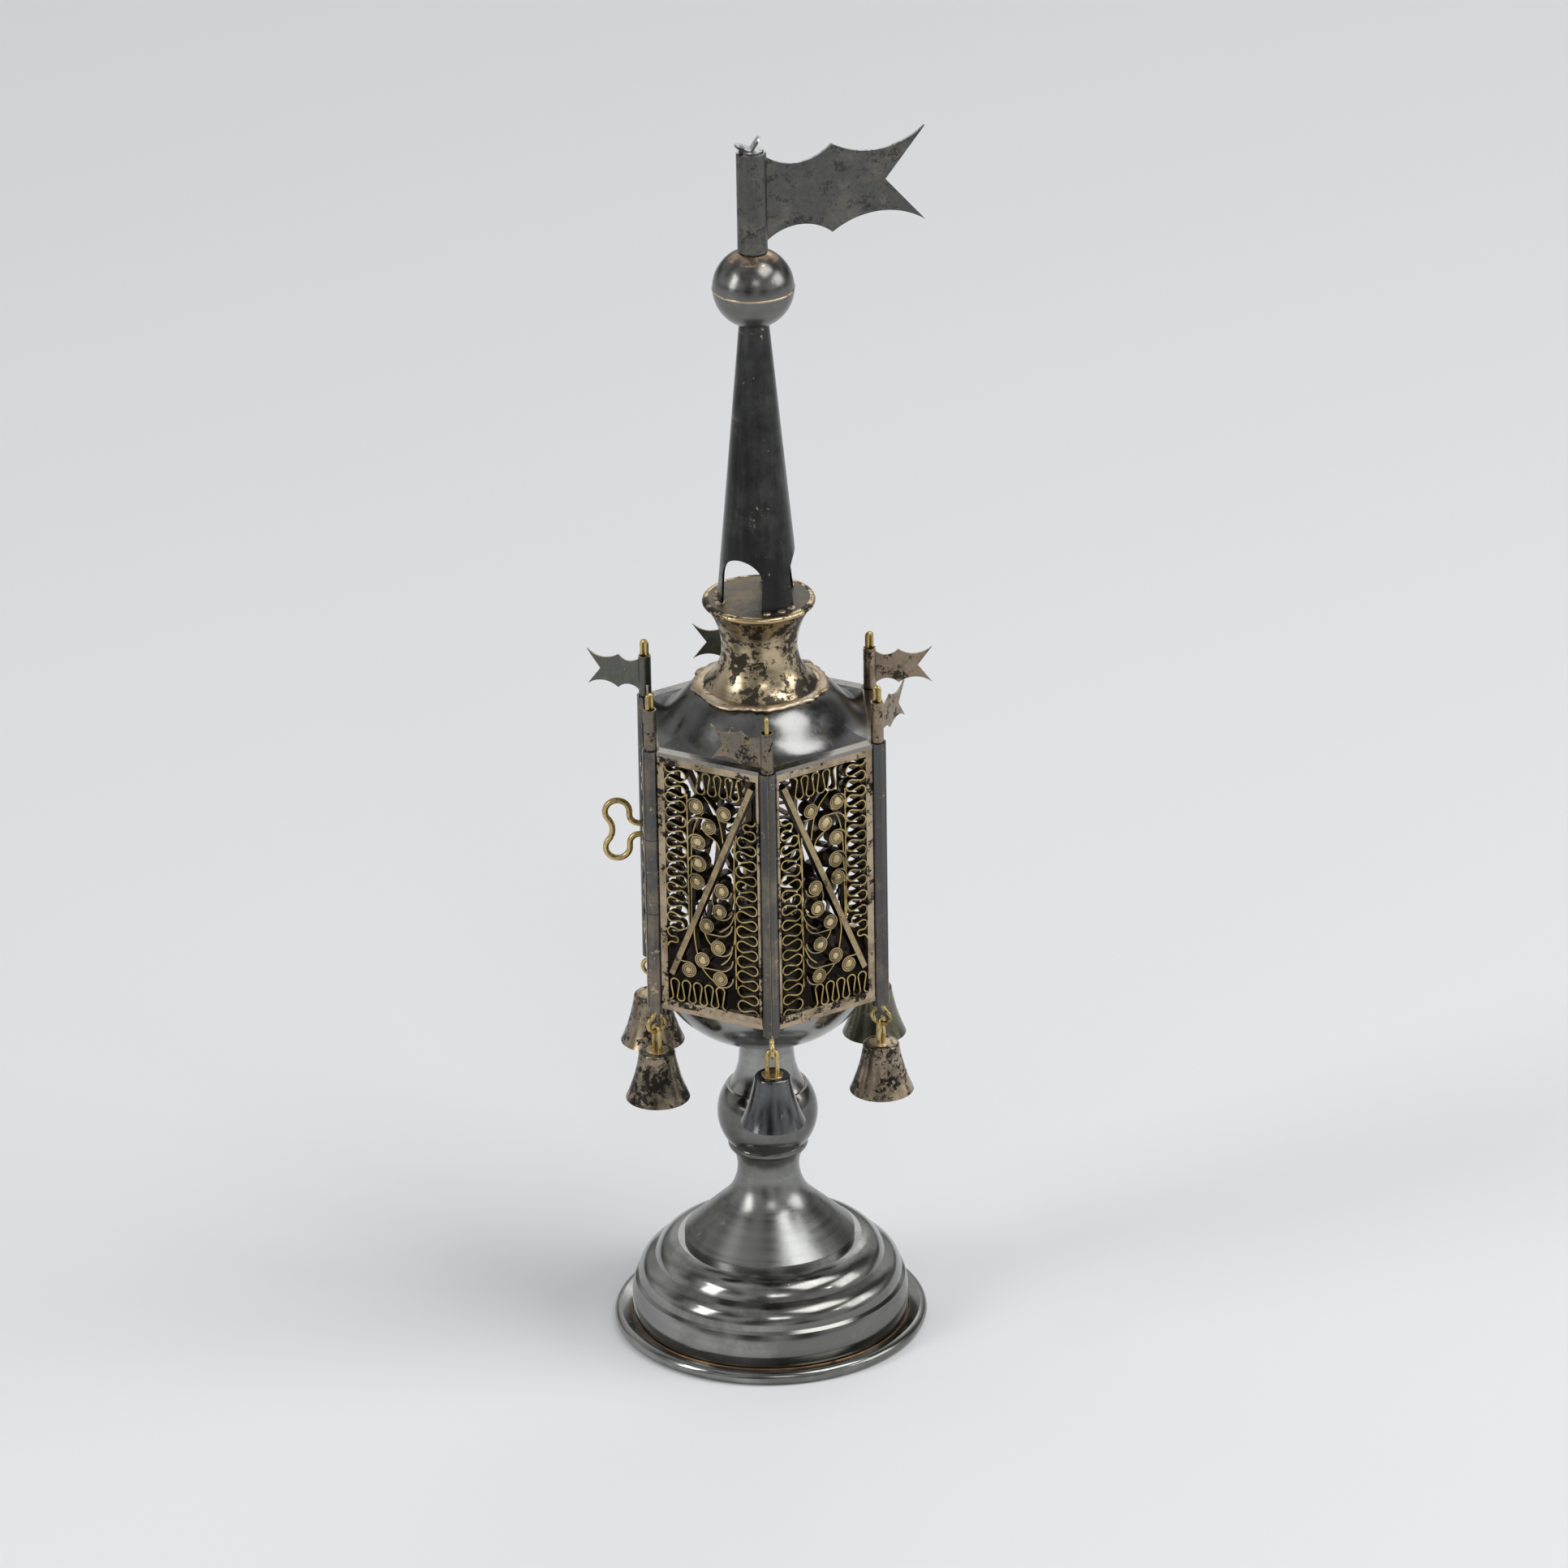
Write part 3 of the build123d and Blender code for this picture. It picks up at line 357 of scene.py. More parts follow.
    def banded(self, tree: bpy.types.NodeTree, place: bpy.types.NodeSocket, colour: bpy.types.NodeSocket,
               band: Band) -> bpy.types.NodeSocket:
        """Lets a band's colour show through.

        Args:
            tree: Node tree.
            place: Coordinates in metres.
            colour: Colour under the band.
            band: The band.

        Returns:
            The mixed colour.
        """
        height = add_node(tree, "ShaderNodeSeparateXYZ", {0: place}).outputs[2]
        over = add_node(tree, "ShaderNodeMath", {0: height, 1: band.low * MM}, operation="GREATER_THAN")
        under = add_node(tree, "ShaderNodeMath", {0: height, 1: band.high * MM}, operation="LESS_THAN")
        inside = add_node(tree, "ShaderNodeMath", {0: over.outputs[0], 1: under.outputs[0]},
                          operation="MULTIPLY")
        patches = self.mask(tree, place, BAND_PATCH_MM, band.share, BAND_PATCH_SOFT)
        shown = add_node(tree, "ShaderNodeMath", {0: inside.outputs[0], 1: patches}, operation="MULTIPLY")
        return self.blended(tree, shown.outputs[0], colour, linear(band.colour))

    def layered(self, tree: bpy.types.NodeTree, place: bpy.types.NodeSocket) -> bpy.types.NodeSocket:
        """Colours of the filigree's outer faces: ribbon, then bar, then coil, from the box outwards.

        Args:
            tree: Node tree.
            place: Coordinates in metres.

        Returns:
            The colour.
        """
        depth = self.side_depth(tree, place)
        colour = linear(self.layers[0])
        for step_mm, code in zip(FILIGREE_STEPS, self.layers[1:]):
            over = add_node(tree, "ShaderNodeMath", {0: depth, 1: step_mm * MM}, operation="GREATER_THAN")
            colour = self.blended(tree, over.outputs[0], colour, linear(code))
        return colour

    def material(self) -> bpy.types.Material:
        """Builds the shader.

        Returns:
            The material, named for the metal and its state.
        """
        made = bpy.data.materials.new(self.name)
        made.use_nodes = True
        tree = made.node_tree
        shader = tree.nodes["Principled BSDF"]
        where = add_node(tree, "ShaderNodeTexCoord")
        place = where.outputs["Object"]
        lines = self.lines(tree, place)
        worn = self.mask(tree, place, self.worn_mm, self.worn_share, self.worn_soft)
        fleck = self.mask(tree, place, self.fleck_mm, self.fleck_share, self.fleck_soft)
        colour = self.blended(tree, worn, linear(self.ground), linear(self.worn))
        if self.layers:
            rubbed = self.outer_face(tree, place, where.outputs["Normal"])
            kept = add_node(tree, "ShaderNodeMath", {0: worn, 1: -self.layer_lost, 2: 1.0},
                            operation="MULTIPLY_ADD")
            gilt = add_node(tree, "ShaderNodeMath", {0: rubbed, 1: kept.outputs[0]}, operation="MULTIPLY")
            colour = self.blended(tree, gilt.outputs[0], colour, self.layered(tree, place))
        # Painted highlight on the edges of upright sheets.
        if self.edge:
            cut = self.edge_highlight_mask(tree, where.outputs["Normal"])
            colour = self.blended(tree, cut, colour, linear(self.edge))
        for band in self.bands:
            colour = self.banded(tree, place, colour, band)
        colour = self.blended(tree, fleck, colour, linear(self.fleck))
        span = {"Value": lines, "From Min": LINE_SPAN[0], "From Max": LINE_SPAN[1]}
        shade = add_node(tree, "ShaderNodeMapRange", span | {"To Min": 1.0 - self.grain_depth, "To Max": 1.0})
        lined = add_node(tree, "ShaderNodeVectorMath", {0: colour, "Scale": shade.outputs[0]},
                         operation="SCALE")
        tree.links.new(lined.outputs[0], shader.inputs["Base Color"])
        shader.inputs["Metallic"].default_value = 1.0
        rough = add_node(tree, "ShaderNodeMapRange", span | {
            "To Min": self.rough[0], "To Max": self.rough[1]})
        dull = add_node(tree, "ShaderNodeMath", {0: fleck, 1: self.fleck_dull, 2: rough.outputs[0]},
                        operation="MULTIPLY_ADD")
        tree.links.new(dull.outputs[0], shader.inputs["Roughness"])
        height = add_node(tree, "ShaderNodeMath", {0: fleck, 1: -self.fleck_depth, 2: lines},
                          operation="MULTIPLY_ADD")
        bump = add_node(tree, "ShaderNodeBump", {
            "Height": height.outputs[0], "Distance": self.relief_mm * MM,
            "Strength": self.relief_strength})
        tree.links.new(bump.outputs[0], shader.inputs["Normal"])
        return made


# Silver plate on spun brass, polished and then tarnished: gunmetal grey, with a mirror's soft reflections.
SPUN_PLATE = Patina("tarnished_silver_plate_spun", "9d9e9b", "7a7a76", "a89e8e", 9.0, 0.42, 0.7, 0.04,
                    (0.13, 0.2), Grain.SPUN, 0.5, 0.16, 0.006)
# The same plate on the roof, with a lighter band in patches on the drawn-down brim: partly wear, partly a
# painted highlight along its edge.
ROOF_PLATE = replace(SPUN_PLATE, name="tarnished_silver_plate_drawn", grain=Grain.EVEN, ground="757574",
                     worn="5f5f5e", rough=(0.17, 0.25), bands=(Band("8f8b84", 125.3, 126.25, 0.6),))
# The same plate on the trumpet, rubbed to a softer sheen.
TRUMPET_PLATE = replace(SPUN_PLATE, name="tarnished_silver_plate_rubbed", ground="8b8c89", worn="6b6b67",
                        rough=(0.25, 0.33))
# The same plate on the knop, painted darker for the dark reflection and shade of the box's underside over it.
KNOP_PLATE_PAINTED_SHADE = replace(SPUN_PLATE, name="tarnished_silver_plate_knop_painted_shade", ground="7a7977", worn="5c5b59")
# The same plate on the ball, with solder run over its top.
BALL_PLATE = replace(SPUN_PLATE, name="tarnished_silver_plate_ball", ground="7a7a78", worn="666561",
                     rough=(0.22, 0.3), bands=(Band("c2a98c", 219.6, 221.0, 0.5),))
# Silver plate rubbed through to pale brass, pitted black where tarnish stayed.
WORN_PLATE = Patina("silver_plate_worn_to_brass", "bfae94", "93836b", "38322b", 2.6, 0.4, 0.5, 0.36,
                    (0.3, 0.44), Grain.EVEN, 0.5, 0.2, 0.04)
# The collar's plate: pale brass with black tarnish left in ragged patches, golden at its rim.
COLLAR_PLATE = Patina("silver_plate_worn_to_brass_spun", "c7b596", "a39275", "464138", 3.0, 0.35, 0.8, 0.46,
                      (0.2, 0.34), Grain.SPUN, 0.5, 0.2, 0.03, bands=(Band("d3ba90", 149.9, 151.2, 0.7),))
# Plate in the collar's mouth, grey with brass at its worn spots.
MOUTH_PLATE = Patina("silver_plate_dull", "77726c", "94866f", "bda98a", 3.0, 0.4, 1.2, 0.14,
                     (0.36, 0.5), Grain.EVEN, 0.5, 0.25, 0.03)
# Floor of the box: painted near-black brown inside for the shade in the box, worn to brass on the edge that
# shows.
FLOOR_PLATE_PAINTED_SHADE = Patina("brass_floor_painted_shade", "3a322b", "2c2621", "4a4036", 3.0, 0.4, 0.6, 0.2,
                     (0.4, 0.55), Grain.EVEN, 0.5, 0.2, 0.03, layers=("bda991",))
# Rolled sheet of the posts: dark grey tarnish with brass showing in long patches.
POST_SHEET = Patina("tarnished_brass_sheet_rolled", "605f5e", "83796a", "b9a98f", 3.0, 0.34, 0.7, 0.17,
                    (0.15, 0.3), Grain.UPRIGHT, 0.5, 0.35, 0.03)
# Thin brass strip: dark on its sides, golden on the edge that faces out, tan on the rolled coils.
GILT_STRIP = Patina("brass_strip_gilt_edge", "5a4c39", "3d342a", "4c4234", 2.0, 0.45, 0.45, 0.16,
                    (0.28, 0.4), Grain.EVEN, 0.4, 0.25, 0.02, layers=("c8b075", "b09d7a", "b5a27a"))
# Bare brass wire, golden with brown grime in its hollows.
BRASS_WIRE = Patina("bare_brass_wire_drawn", "d0ba80", "ae9860", "6a5a3c", 2.0, 0.4, 0.6, 0.16,
                    (0.24, 0.36), Grain.EVEN, 0.3, 0.2, 0.02)
# Sheet of the spire, black with a grey sheen, upright rubbing marks and a few pale specks.
BLACK_SHEET = Patina("blackened_silver_sheet_rolled", "4c4c4b", "363636", "c4b59b", 5.0, 0.45, 0.5, 0.03,
                     (0.17, 0.3), Grain.UPRIGHT, 0.6, 0.4, 0.015)
# Cut sheet of the flags: grey plate clouded with brass and black specks, with a painted highlight on its cut
# edges.
FLAG_SHEET = Patina("silver_plate_sheet_cut", "7c766c", "94846e", "3c3731", 1.8, 0.36, 0.28, 0.3,
                    (0.3, 0.46), Grain.EVEN, 0.4, 0.25, 0.03, edge="cfc4ae")
# The big flag's sheet, darker, with a painted silver highlight on its edges.
BIG_FLAG_SHEET = replace(FLAG_SHEET, name="silver_plate_sheet_dark", ground="60605e", worn="74716a",
                         fleck="4d4c4a", edge="e4e6e6")
# Flags rubbed through to tan brass, with black left in their hollows.
TAN_FLAG_SHEET = replace(FLAG_SHEET, name="silver_plate_sheet_rubbed", ground="a08f7c", worn="857663",
                         fleck="4a4239")
# Flags still dark and a little green, with brass at a few spots.
GREEN_FLAG_SHEET = replace(FLAG_SHEET, name="silver_plate_sheet_tarnished", ground="686a64", worn="787464",
                           fleck="a38c62", fleck_share=0.16)
# Thin bell metal, coppery tan where the plate is gone and black in ragged blotches.
BELL_SHEET = Patina("silver_plate_worn_to_copper", "b8a68d", "777062", "36312c", 2.2, 0.46, 0.5, 0.41,
                    (0.16, 0.3), Grain.UPRIGHT, 0.7, 0.35, 0.04)
# The front bell has kept its plate: dark grey and glossy.
DARK_BELL = Patina("tarnished_silver_plate_bell", "6c6d6e", "5a5b5e", "a49a8a", 4.0, 0.4, 0.4, 0.05,
                   (0.16, 0.26), Grain.UPRIGHT, 0.6, 0.35, 0.015)
# The back right bell, whose tarnish shines green.
RAINBOW_BELL = replace(BELL_SHEET, name="tarnished_silver_plate_iridescent", ground="7b7461", worn="666a5f",
                       fleck="969b8a", fleck_share=0.2)
# Hard solder, pale copper tan and a little lumpy.
SOLDER = Patina("copper_hard_solder", "d6c5aa", "bca688", "5c4a38", 1.6, 0.4, 0.5, 0.14,
                (0.32, 0.46), Grain.EVEN, 0.4, 0.2, 0.05)
# Solder at the foot, brown with tarnish.
FOOT_SOLDER = replace(SOLDER, name="copper_hard_solder_tarnished", ground="8a6c50", worn="5f4a38")
# Solder on the coils, yellower.
COIL_SOLDER = replace(SOLDER, name="brass_hard_solder", ground="dac79c", worn="b8a274")


class Piece:
    """A new mesh piece of the tower, made from a bmesh in the tower's own frame."""

    def __init__(self, name: str, body: str, slot: str, finish: bpy.types.Material) -> None:
        """Starts an empty piece.

        Args:
            name: Name of the object.
            body: CAD body that it rides on.
            slot: Material slot of the record; it is kept on the piece but not used.
            finish: Its material.
        """
        self.name = name
        self.body = body
        self.slot = slot
        self.finish = finish
        self.mesh = bmesh.new()

    def done(self, smooth: bool = True) -> bpy.types.Object:
        """Turns the bmesh to an object that rides on its body.

        Args:
            smooth: Whether its faces are shaded smooth.

        Returns:
            The object.
        """
        bmesh.ops.remove_doubles(self.mesh, verts=self.mesh.verts, dist=WELD_MM * MM)
        bmesh.ops.recalc_face_normals(self.mesh, faces=self.mesh.faces)
        for face in self.mesh.faces:
            face.smooth = smooth
        data = bpy.data.meshes.new(self.name)
        self.mesh.to_mesh(data)
        self.mesh.free()
        data.materials.append(self.finish)
        made = bpy.data.objects.new(self.name, data)
        bpy.context.scene.collection.objects.link(made)
        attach(made, self.body)
        LOG.info("%s: %d faces", self.name, len(data.polygons))
        return made


def uneven(spot: Vector, grain: float) -> float:
    """Gives a slow and a quick unevenness together.

    Args:
        spot: Place in millimetres.
        grain: How many bumps there are to a millimetre.

    Returns:
        About -1 to 1.
    """
    return SLOW_WEIGHT * noise.noise(spot * grain) + QUICK_WEIGHT * noise.noise(spot * grain * QUICK_TIMES)


def blob(mesh: bmesh.types.BMesh, spot: Vector, outward: Vector, reach: float, lift: float) -> None:
    """Adds a flat, uneven drop of solder.

    Args:
        mesh: Mesh that gets it.
        spot: Its middle in millimetres.
        outward: Way that it stands up.
        reach: Half its width in millimetres.
        lift: Half its thickness in millimetres.
    """
    lie = outward.to_track_quat("Z", "Y").to_matrix().to_4x4()
    drop = bmesh.ops.create_icosphere(mesh, subdivisions=3, radius=1.0)
    for vert in drop["verts"]:
        swell = 1.0 + DROP_WANDER * uneven(spot + vert.co * reach, DROP_GRAIN)
        shaped = Vector((vert.co.x * reach * swell, vert.co.y * reach * swell, vert.co.z * lift))
        vert.co = (spot + lie @ shaped) * MM


@dataclass(frozen=True)
class Bead:
    """Uneven bead of solder round the foot of a round CAD node. Sizes in millimetres.

    Out and lift give its middle line, from the node's side and from its foot. Across and up are half its
    width and half its height, wander is the share that its width changes by, and grain its swells to a
    millimetre. A tarnished bead has the finish of the foot's solder.
    """

    name: str
    node: str
    out: float
    lift: float
    across: float
    up: float
    wander: float
    grain: float = 0.6
    tarnished: bool = False


@dataclass
class SolderSeams:
    """Solder where spun and rolled pieces meet. Sizes in millimetres."""

    finish: bpy.types.Material
    foot_finish: bpy.types.Material
    beads: tuple[Bead, ...] = (
        Bead("collar_solder", "neck_collar", 0.05, 0.12, 1.25, 0.5, 1.3, 0.22),
        Bead("ball_solder", "ball_upper", -0.1, 0.0, 0.2, 0.24, 0.8),
        Bead("foot_solder", "base_dome", 0.05, 0.1, 0.2, 0.22, 0.7, tarnished=True),
    )
    bead_facets: int = 10
    bead_segments: int = 180
    least_swell: float = 0.35
    leg_turns: tuple[float, ...] = (57.5, 177.5, 297.5)
    leg_ways: tuple[float, ...] = (-1.0, 0.1, 1.0)
    leg_spread: float = 19.0
    leg_out: float = 0.25
    leg_step: float = 0.2
    leg_lift: float = 0.05
    leg_reach: float = 0.75
    leg_growth: float = 0.12
    leg_thick: float = 0.22
    crown_reach: float = 2.2
    crown_thick: float = 0.12

    def bead(self, seam: Bead) -> None:
        """Makes a bead of solder round the tower's axis.

        Args:
            seam: The bead's place and sizes.
        """
        low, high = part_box(seam.node)
        radius = (high.x - low.x) / 2 / MM + seam.out
        height = low.z / MM + seam.lift
        finish = self.foot_finish if seam.tarnished else self.finish
        piece = Piece(seam.name, "tower", "worn_plate", finish)
        ring = bmesh.ops.create_circle(piece.mesh, segments=self.bead_facets, radius=1.0,
                                       matrix=Matrix.Rotation(math.pi / 2, 4, "X"))
        for vert in ring["verts"]:
            vert.co = Vector((radius + vert.co.x * seam.across, 0.0, height + vert.co.z * seam.up)) * MM
        bmesh.ops.spin(piece.mesh, geom=list(piece.mesh.edges), axis=(0, 0, 1), cent=(0, 0, 0),
                       angle=2 * math.pi, steps=self.bead_segments, use_merge=True)
        for vert in piece.mesh.verts:
            spot = Vector((vert.co.x, vert.co.y, 0.0)) / MM
            change = seam.wander * uneven(spot + Vector((0.0, 0.0, height)), seam.grain)
            moved = radius + (spot.length - radius) * max(self.least_swell, 1.0 + change)
            vert.co.x *= moved / spot.length
            vert.co.y *= moved / spot.length
        piece.done()

    def leg_drops(self) -> None:
        """Makes the drops at the feet of the spire's legs."""
        piece = Piece("spire_solder", "tower", "worn_plate", self.finish)
        low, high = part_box("spire")
        reach = (high.y - low.y) / 2 / MM + self.leg_out
        for turn in self.leg_turns:
            for k, way in enumerate(self.leg_ways):
                spot = around(reach - self.leg_step * k, turn + way * self.leg_spread,
                              low.z / MM + self.leg_lift)
                blob(piece.mesh, spot, UP, self.leg_reach + self.leg_growth * k, self.leg_thick)
        piece.done()

    def crown_drop(self, corner: str, finish: bpy.types.Material) -> None:
        """Makes the flat drop on a bell's crown, where its loop goes in.

        Args:
            corner: Corner of the box that the bell hangs from.
            finish: Material of the drop.
        """
        low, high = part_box(f"bell_{corner}")
        piece = Piece(f"bell_solder_{corner}", f"bell_{corner}", "bell_metal", finish)
        spot = Vector(((low.x + high.x) / 2, (low.y + high.y) / 2, high.z)) / MM
        blob(piece.mesh, spot, UP, self.crown_reach, self.crown_thick)
        piece.done()

    def build(self) -> None:
        """Makes the beads, and the drops on the collar's plate."""
        for seam in self.beads:
            self.bead(seam)
        self.leg_drops()


@dataclass
class Lace:
    """Thin tendrils and drops of solder in the filigree of one side.

    Places are shares of the frame's opening, seen from where the bar rises to the right. Sizes in
    millimetres.
    """

    side: Side
    strip: bpy.types.Material
    solder: bpy.types.Material
    strip_width: float = 1.4
    narrow_stile: float = 0.5
    coil_face: float = 1.4
    drop_reach: float = 0.66
    drop_change: float = 0.34
    drop_grain: float = 0.5
    drop_thick: float = 0.16
    tendril: float = 0.22
    tendril_depth: float = 1.5
    tendril_cuts: int = 3
    tendril_rounds: int = 6

    @property
    def pose(self) -> Matrix:
        """Matrix from the opening's own frame to the tower's: x across, y up, z out of its plane."""
        across = around(self.side.way_out, self.side.turn + 90)
        out = around(self.side.way_out, self.side.turn)
        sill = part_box(self.side.frame_node)[0].z / MM + self.strip_width
        foot = around(SIDE_APOTHEM, self.side.turn, sill)
        return Matrix((
            (across.x, 0.0, out.x, foot.x),
            (across.y, 0.0, out.y, foot.y),
            (0.0, 1.0, 0.0, foot.z),
            (0.0, 0.0, 0.0, 1.0),
        ))

    @property
    def opening(self) -> tuple[float, float]:
        """Width and height of the frame's opening."""
        level = Side.DOOR if self.side is Side.DOOR else Side.RIGHT
        low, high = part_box(level.frame_node)
        width = (high.y - low.y) / MM - self.strip_width - self.narrow_stile
        return (width, (high.z - low.z) / MM - 2 * self.strip_width)

    @property
    def shift(self) -> float:
        """How far the opening lies to the right of its frame's middle."""
        return (self.strip_width - self.narrow_stile) / 2 * (-1 if self.side is Side.DOOR else 1)

    def at(self, share: tuple[float, float], out: float) -> Vector:
        """Turns a share of the opening to a place.

        Args:
            share: Shares across and up.
            out: Distance to the outside of the panel's plane.

        Returns:
            The place in millimetres, in the tower's frame.
        """
        width, height = self.opening
        across = (share[0] - 0.5) * width + self.shift
        return self.pose @ Vector((across, share[1] * height, out * self.side.way_out))

    def coil_drops(self) -> None:
        """Makes the solder on the coils' faces."""
        piece = Piece(f"{self.side.name.lower()}_coil_solder", self.side.body, "filigree_strip", self.solder)
        outward = around(1.0, self.side.turn)
        for share in COILS:
            spot = self.at(share, self.coil_face)
            reach = self.drop_reach + self.drop_change * uneven(spot, self.drop_grain)
            blob(piece.mesh, spot, outward, reach, self.drop_thick)
        piece.done()

    def tendrils(self) -> None:
        """Makes the tendrils: smoothed lines drawn out to strips and thickened."""
        piece = Piece(f"{self.side.name.lower()}_tendrils", self.side.body, "filigree_strip", self.strip)
        out = around(1.0, self.side.turn)
        for line in TENDRILS:
            strand = bmesh.new()
            tip = bmesh.ops.create_vert(strand, co=self.at(line[0], 0.0) * MM)["vert"][0]
            for share in line[1:]:
                tip = bmesh.ops.extrude_vert_indiv(strand, verts=[tip])["verts"][0]
                tip.co = self.at(share, 0.0) * MM
            bmesh.ops.subdivide_edges(strand, edges=strand.edges, cuts=self.tendril_cuts)
            inner = [vert for vert in strand.verts if len(vert.link_edges) == 2]
            for _ in range(self.tendril_rounds):
                bmesh.ops.smooth_vert(strand, verts=inner, factor=0.5, use_axis_x=True, use_axis_y=True,
                                      use_axis_z=True)
            drawn = bmesh.ops.extrude_edge_only(strand, edges=strand.edges)
            for vert in strand.verts:
                far = vert in drawn["geom"]
                vert.co += out * (0.5 if far else -0.5) * self.tendril_depth * MM
            strand.normal_update()
            bmesh.ops.solidify(strand, geom=list(strand.faces), thickness=self.tendril * MM)
            data = bpy.data.meshes.new("strand")
            strand.to_mesh(data)
            strand.free()
            piece.mesh.from_mesh(data)
            bpy.data.meshes.remove(data)
        piece.done(smooth=False)

    def build(self) -> None:
        """Makes the side's drops and tendrils."""
        self.coil_drops()
        self.tendrils()


@dataclass(frozen=True)
class PhotoCamera:
    """Camera at the photograph's viewing angle.

    Angles are in degrees, lens and sensor in millimetres, and the other sizes in metres.
    """

    elevation: float = 25.101
    distance: float = 2.1302
    roll: float = -0.941
    turn: float = -2.5
    target: tuple[float, float, float] = (0.004153, 0.0, 0.112402)
    lens: float = 259.83
    sensor: float = 36.0
    sight: float = 20.0

    def place(self) -> None:
        """Makes the camera and gives it to the scene."""
        rise = math.radians(self.elevation)
        lean = math.radians(self.roll)
        back = Vector((0.0, -math.cos(rise), math.sin(rise)))
        across = Vector((1.0, 0.0, 0.0))
        up = across.cross(-back)
        spot = Vector(self.target) + back * self.distance
        right = across * math.cos(lean) + up * math.sin(lean)
        head = up * math.cos(lean) - across * math.sin(lean)
        pose = Matrix((
            (right.x, head.x, back.x, spot.x),
            (right.y, head.y, back.y, spot.y),
            (right.z, head.z, back.z, spot.z),
            (0.0, 0.0, 0.0, 1.0),
        ))
        data = bpy.data.cameras.new("photo_camera")
        data.lens = self.lens
        data.sensor_width = self.sensor
        data.clip_end = self.sight
        camera = bpy.data.objects.new("photo_camera", data)
        camera.matrix_world = Matrix.Rotation(math.radians(self.turn), 4, "Z") @ pose
        bpy.context.scene.collection.objects.link(camera)
        bpy.context.scene.camera = camera


@dataclass(frozen=True)
class SoftBox:
    """Soft lamp that looks at the tower's middle. Sizes in metres, power in watts."""

    name: str
    spot: tuple[float, float, float]
    width: float
    height: float
    power: float
    aim: tuple[float, float, float] = (0.0, 0.0, 0.12)

    def hang(self) -> None:
        """Makes the lamp."""
        data = bpy.data.lights.new(self.name, "AREA")
        data.shape = "RECTANGLE"
        data.size = self.width
        data.size_y = self.height
        data.energy = self.power
        lamp = bpy.data.objects.new(self.name, data)
        lamp.location = self.spot
        lamp.rotation_euler = (Vector(self.aim) - Vector(self.spot)).to_track_quat("-Z", "Y").to_euler()
        bpy.context.scene.collection.objects.link(lamp)


@dataclass
class Studio:
    """Pale floor, soft lamps and a world whose glow comes and goes as a room's does."""

    floor_reach: float = 6.0
    floor_colour: str = "f0f1f3"
    floor_rough: float = 0.7
    glow_colour: str = "f7f7f8"
    glow_scale: float = 1.9
    glow_noise: tuple[float, float] = (0.36, 0.64)
    glow_strength: tuple[float, float] = (0.1, 0.72)
    boxes: tuple[SoftBox, ...] = (
        SoftBox("key_box", (0.8, -0.38, 1.58), 1.0, 0.7, 10.5),
        SoftBox("front_box", (0.15, -1.5, 1.2), 0.5, 0.3, 2.0),
        SoftBox("left_box", (-1.35, -0.6, 0.85), 0.4, 0.9, 6.8),
        SoftBox("right_box", (1.55, -0.2, 0.8), 0.8, 0.7, 6.0),
        SoftBox("back_box", (0.35, 1.45, 1.0), 0.8, 0.35, 1.2),
        SoftBox("left_spark", (-1.3, -0.3, 1.25), 0.1, 0.1, 0.6),
        SoftBox("right_spark", (1.35, -0.75, 0.9), 0.1, 0.1, 0.6),
    )

    def build(self) -> None:
        """Makes the floor, the lamps and the world."""
        mesh = bmesh.new()
        bmesh.ops.create_grid(mesh, x_segments=1, y_segments=1, size=self.floor_reach)
        data = bpy.data.meshes.new("floor")
        mesh.to_mesh(data)
        mesh.free()
        paper = bpy.data.materials.new("pale_paper_floor")
        paper.use_nodes = True
        shader = paper.node_tree.nodes["Principled BSDF"]
        shader.inputs["Base Color"].default_value = linear(self.floor_colour)
        shader.inputs["Roughness"].default_value = self.floor_rough
        data.materials.append(paper)
        floor = bpy.data.objects.new("floor", data)
        bpy.context.scene.collection.objects.link(floor)
        for box in self.boxes:
            box.hang()
        world = bpy.data.worlds.new("studio")
        world.use_nodes = True
        tree = world.node_tree
        where = add_node(tree, "ShaderNodeTexCoord")
        clouds = add_node(tree, "ShaderNodeTexNoise", {
            "Vector": where.outputs["Generated"], "Scale": self.glow_scale, "Detail": 1.0})
        glow = add_node(tree, "ShaderNodeMapRange", {
            "Value": clouds.outputs[0], "From Min": self.glow_noise[0], "From Max": self.glow_noise[1],
            "To Min": self.glow_strength[0], "To Max": self.glow_strength[1]})
        tree.links.new(glow.outputs[0], tree.nodes["Background"].inputs["Strength"])
        tree.nodes["Background"].inputs["Color"].default_value = linear(self.glow_colour)
        bpy.context.scene.world = world
        bpy.context.scene.view_settings.view_transform = "Standard"


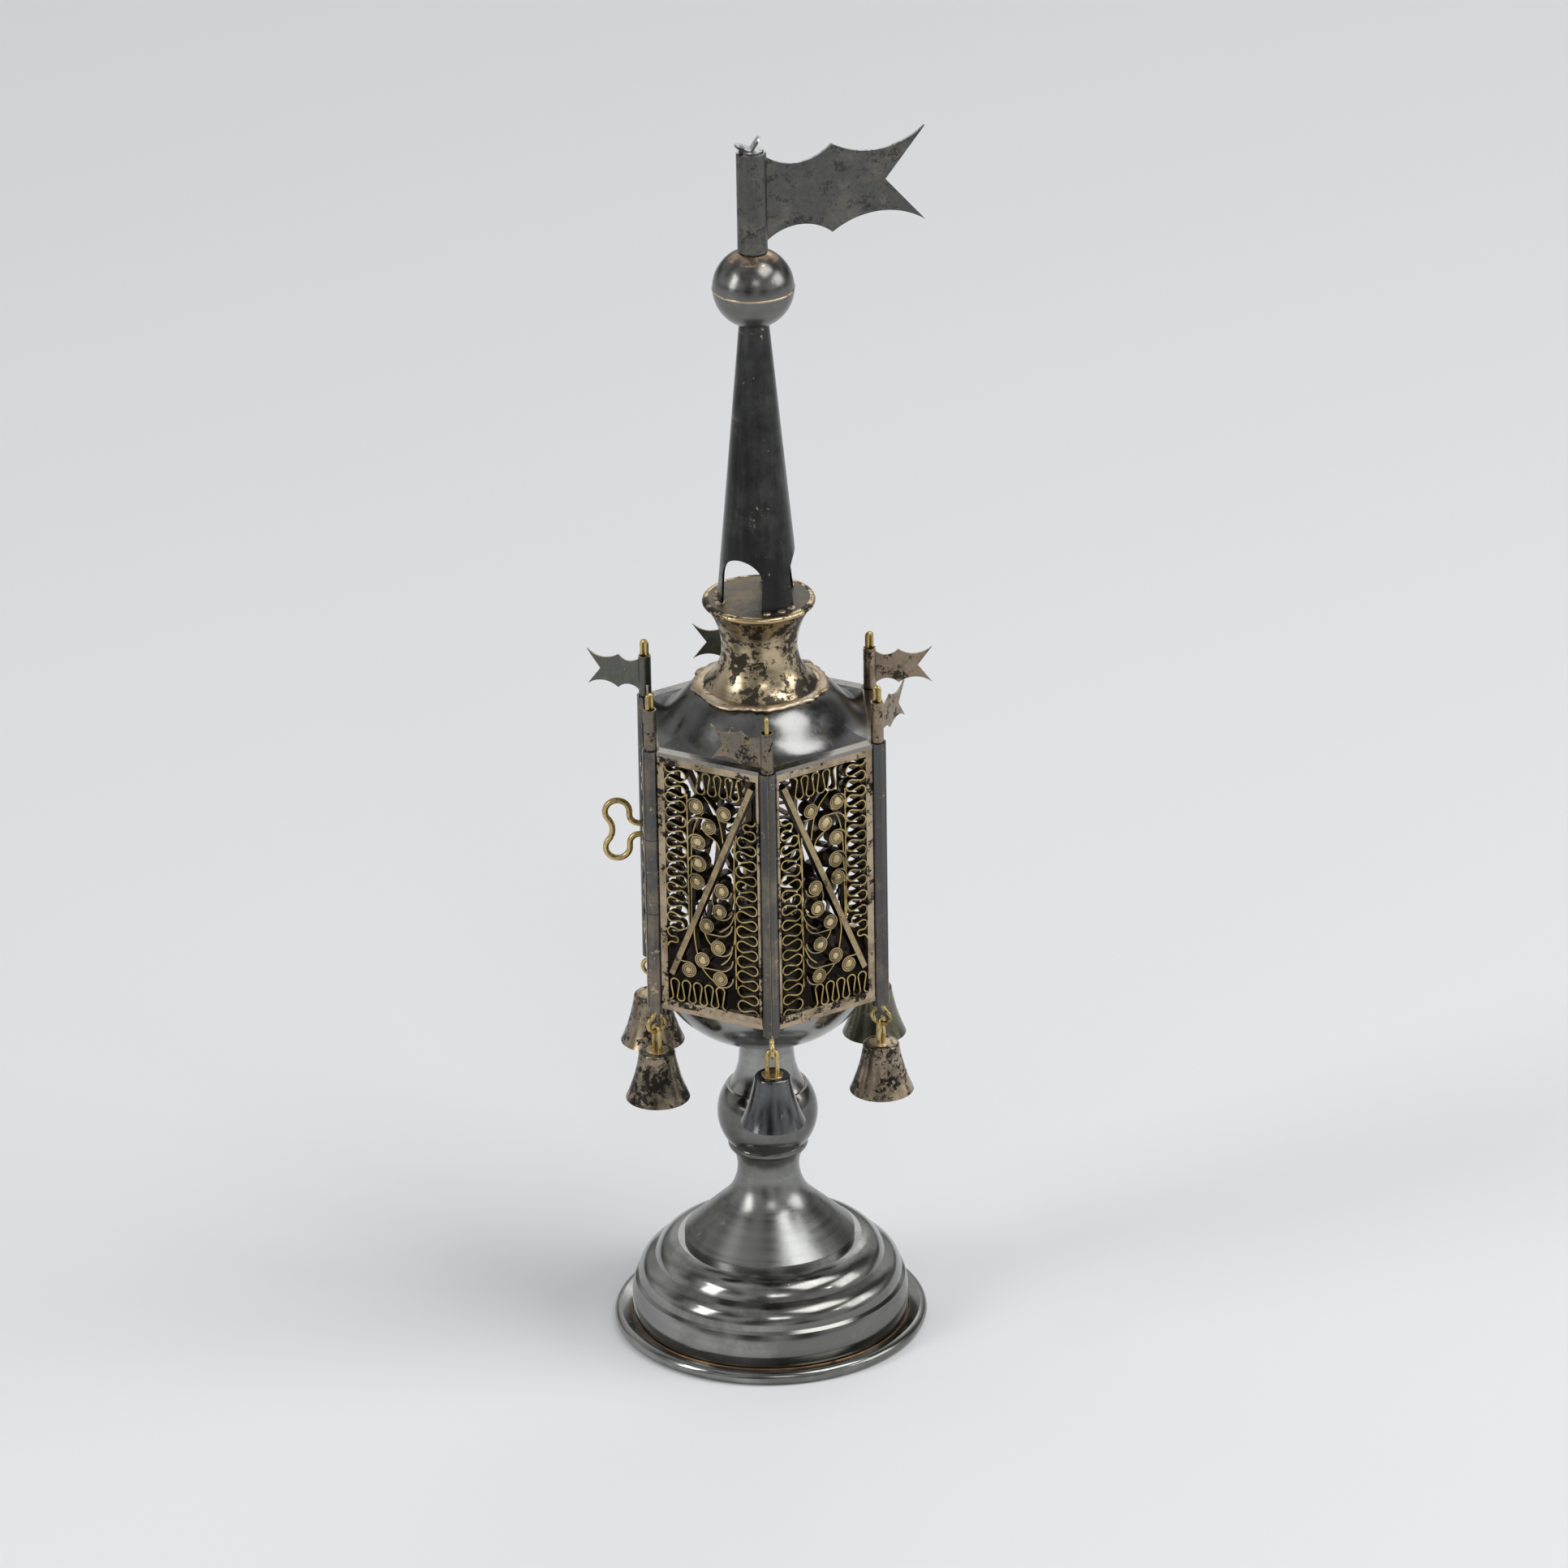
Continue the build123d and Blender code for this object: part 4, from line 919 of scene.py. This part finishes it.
@dataclass
class Dressing:
    """Gives each CAD node its finish."""

    finishes: dict[str, bpy.types.Material]
    own: dict[str, bpy.types.Material]

    def build(self) -> None:
        """Puts a node's own finish on it, or else its slot's."""
        slots = {part["node"]: part["material_slot"] for part in frame["record"]["subparts"]}
        for name, node in frame["nodes"].items():
            finish = self.own.get(name, self.finishes[slots[name]])
            node.data.materials.clear()
            node.data.materials.append(finish)
            LOG.info("%s: %s", name, finish.name)


def main() -> None:
    """Builds the tower's looks and the studio."""
    logging.basicConfig(level=logging.INFO)
    finishes = {
        "spun_plate": SPUN_PLATE.material(),
        "worn_plate": WORN_PLATE.material(),
        "post_sheet": POST_SHEET.material(),
        "filigree_strip": GILT_STRIP.material(),
        "brass_wire": BRASS_WIRE.material(),
        "spire_sheet": BLACK_SHEET.material(),
        "flag_sheet": FLAG_SHEET.material(),
        "bell_metal": BELL_SHEET.material(),
    }
    ball = BALL_PLATE.material()
    big_flag = BIG_FLAG_SHEET.material()
    own = {
        "roof": ROOF_PLATE.material(),
        "stem_trumpet": TRUMPET_PLATE.material(),
        # The knop's colour holds a painted dark reflection of the box's underside.
        "stem_knop": KNOP_PLATE_PAINTED_SHADE.material(),
        "ball_lower": ball,
        "ball_upper": ball,
        # The box floor is painted dark for the shade inside the box.
        "box_floor": FLOOR_PLATE_PAINTED_SHADE.material(),
        "neck_collar": COLLAR_PLATE.material(),
        "collar_plate": MOUTH_PLATE.material(),
        "big_flag": big_flag,
        "spindle": big_flag,
        "bell_front": DARK_BELL.material(),
        "bell_back_right": RAINBOW_BELL.material(),
    }
    tan_flag = TAN_FLAG_SHEET.material()
    green_flag = GREEN_FLAG_SHEET.material()
    own |= {f"flag_{corner}": tan_flag for corner in ("front_right", "back_right")}
    own |= {f"flag_{corner}": green_flag for corner in ("back_left", "back")}
    Dressing(finishes, own).build()
    coil_solder = COIL_SOLDER.material()
    seams = SolderSeams(SOLDER.material(), FOOT_SOLDER.material())
    seams.build()
    for corner in CORNERS:
        seams.crown_drop(corner, coil_solder)
    for side in Side:
        Lace(side, finishes["filigree_strip"], coil_solder).build()
    Studio().build()
    PhotoCamera().place()


if __name__ == "__main__":
    main()
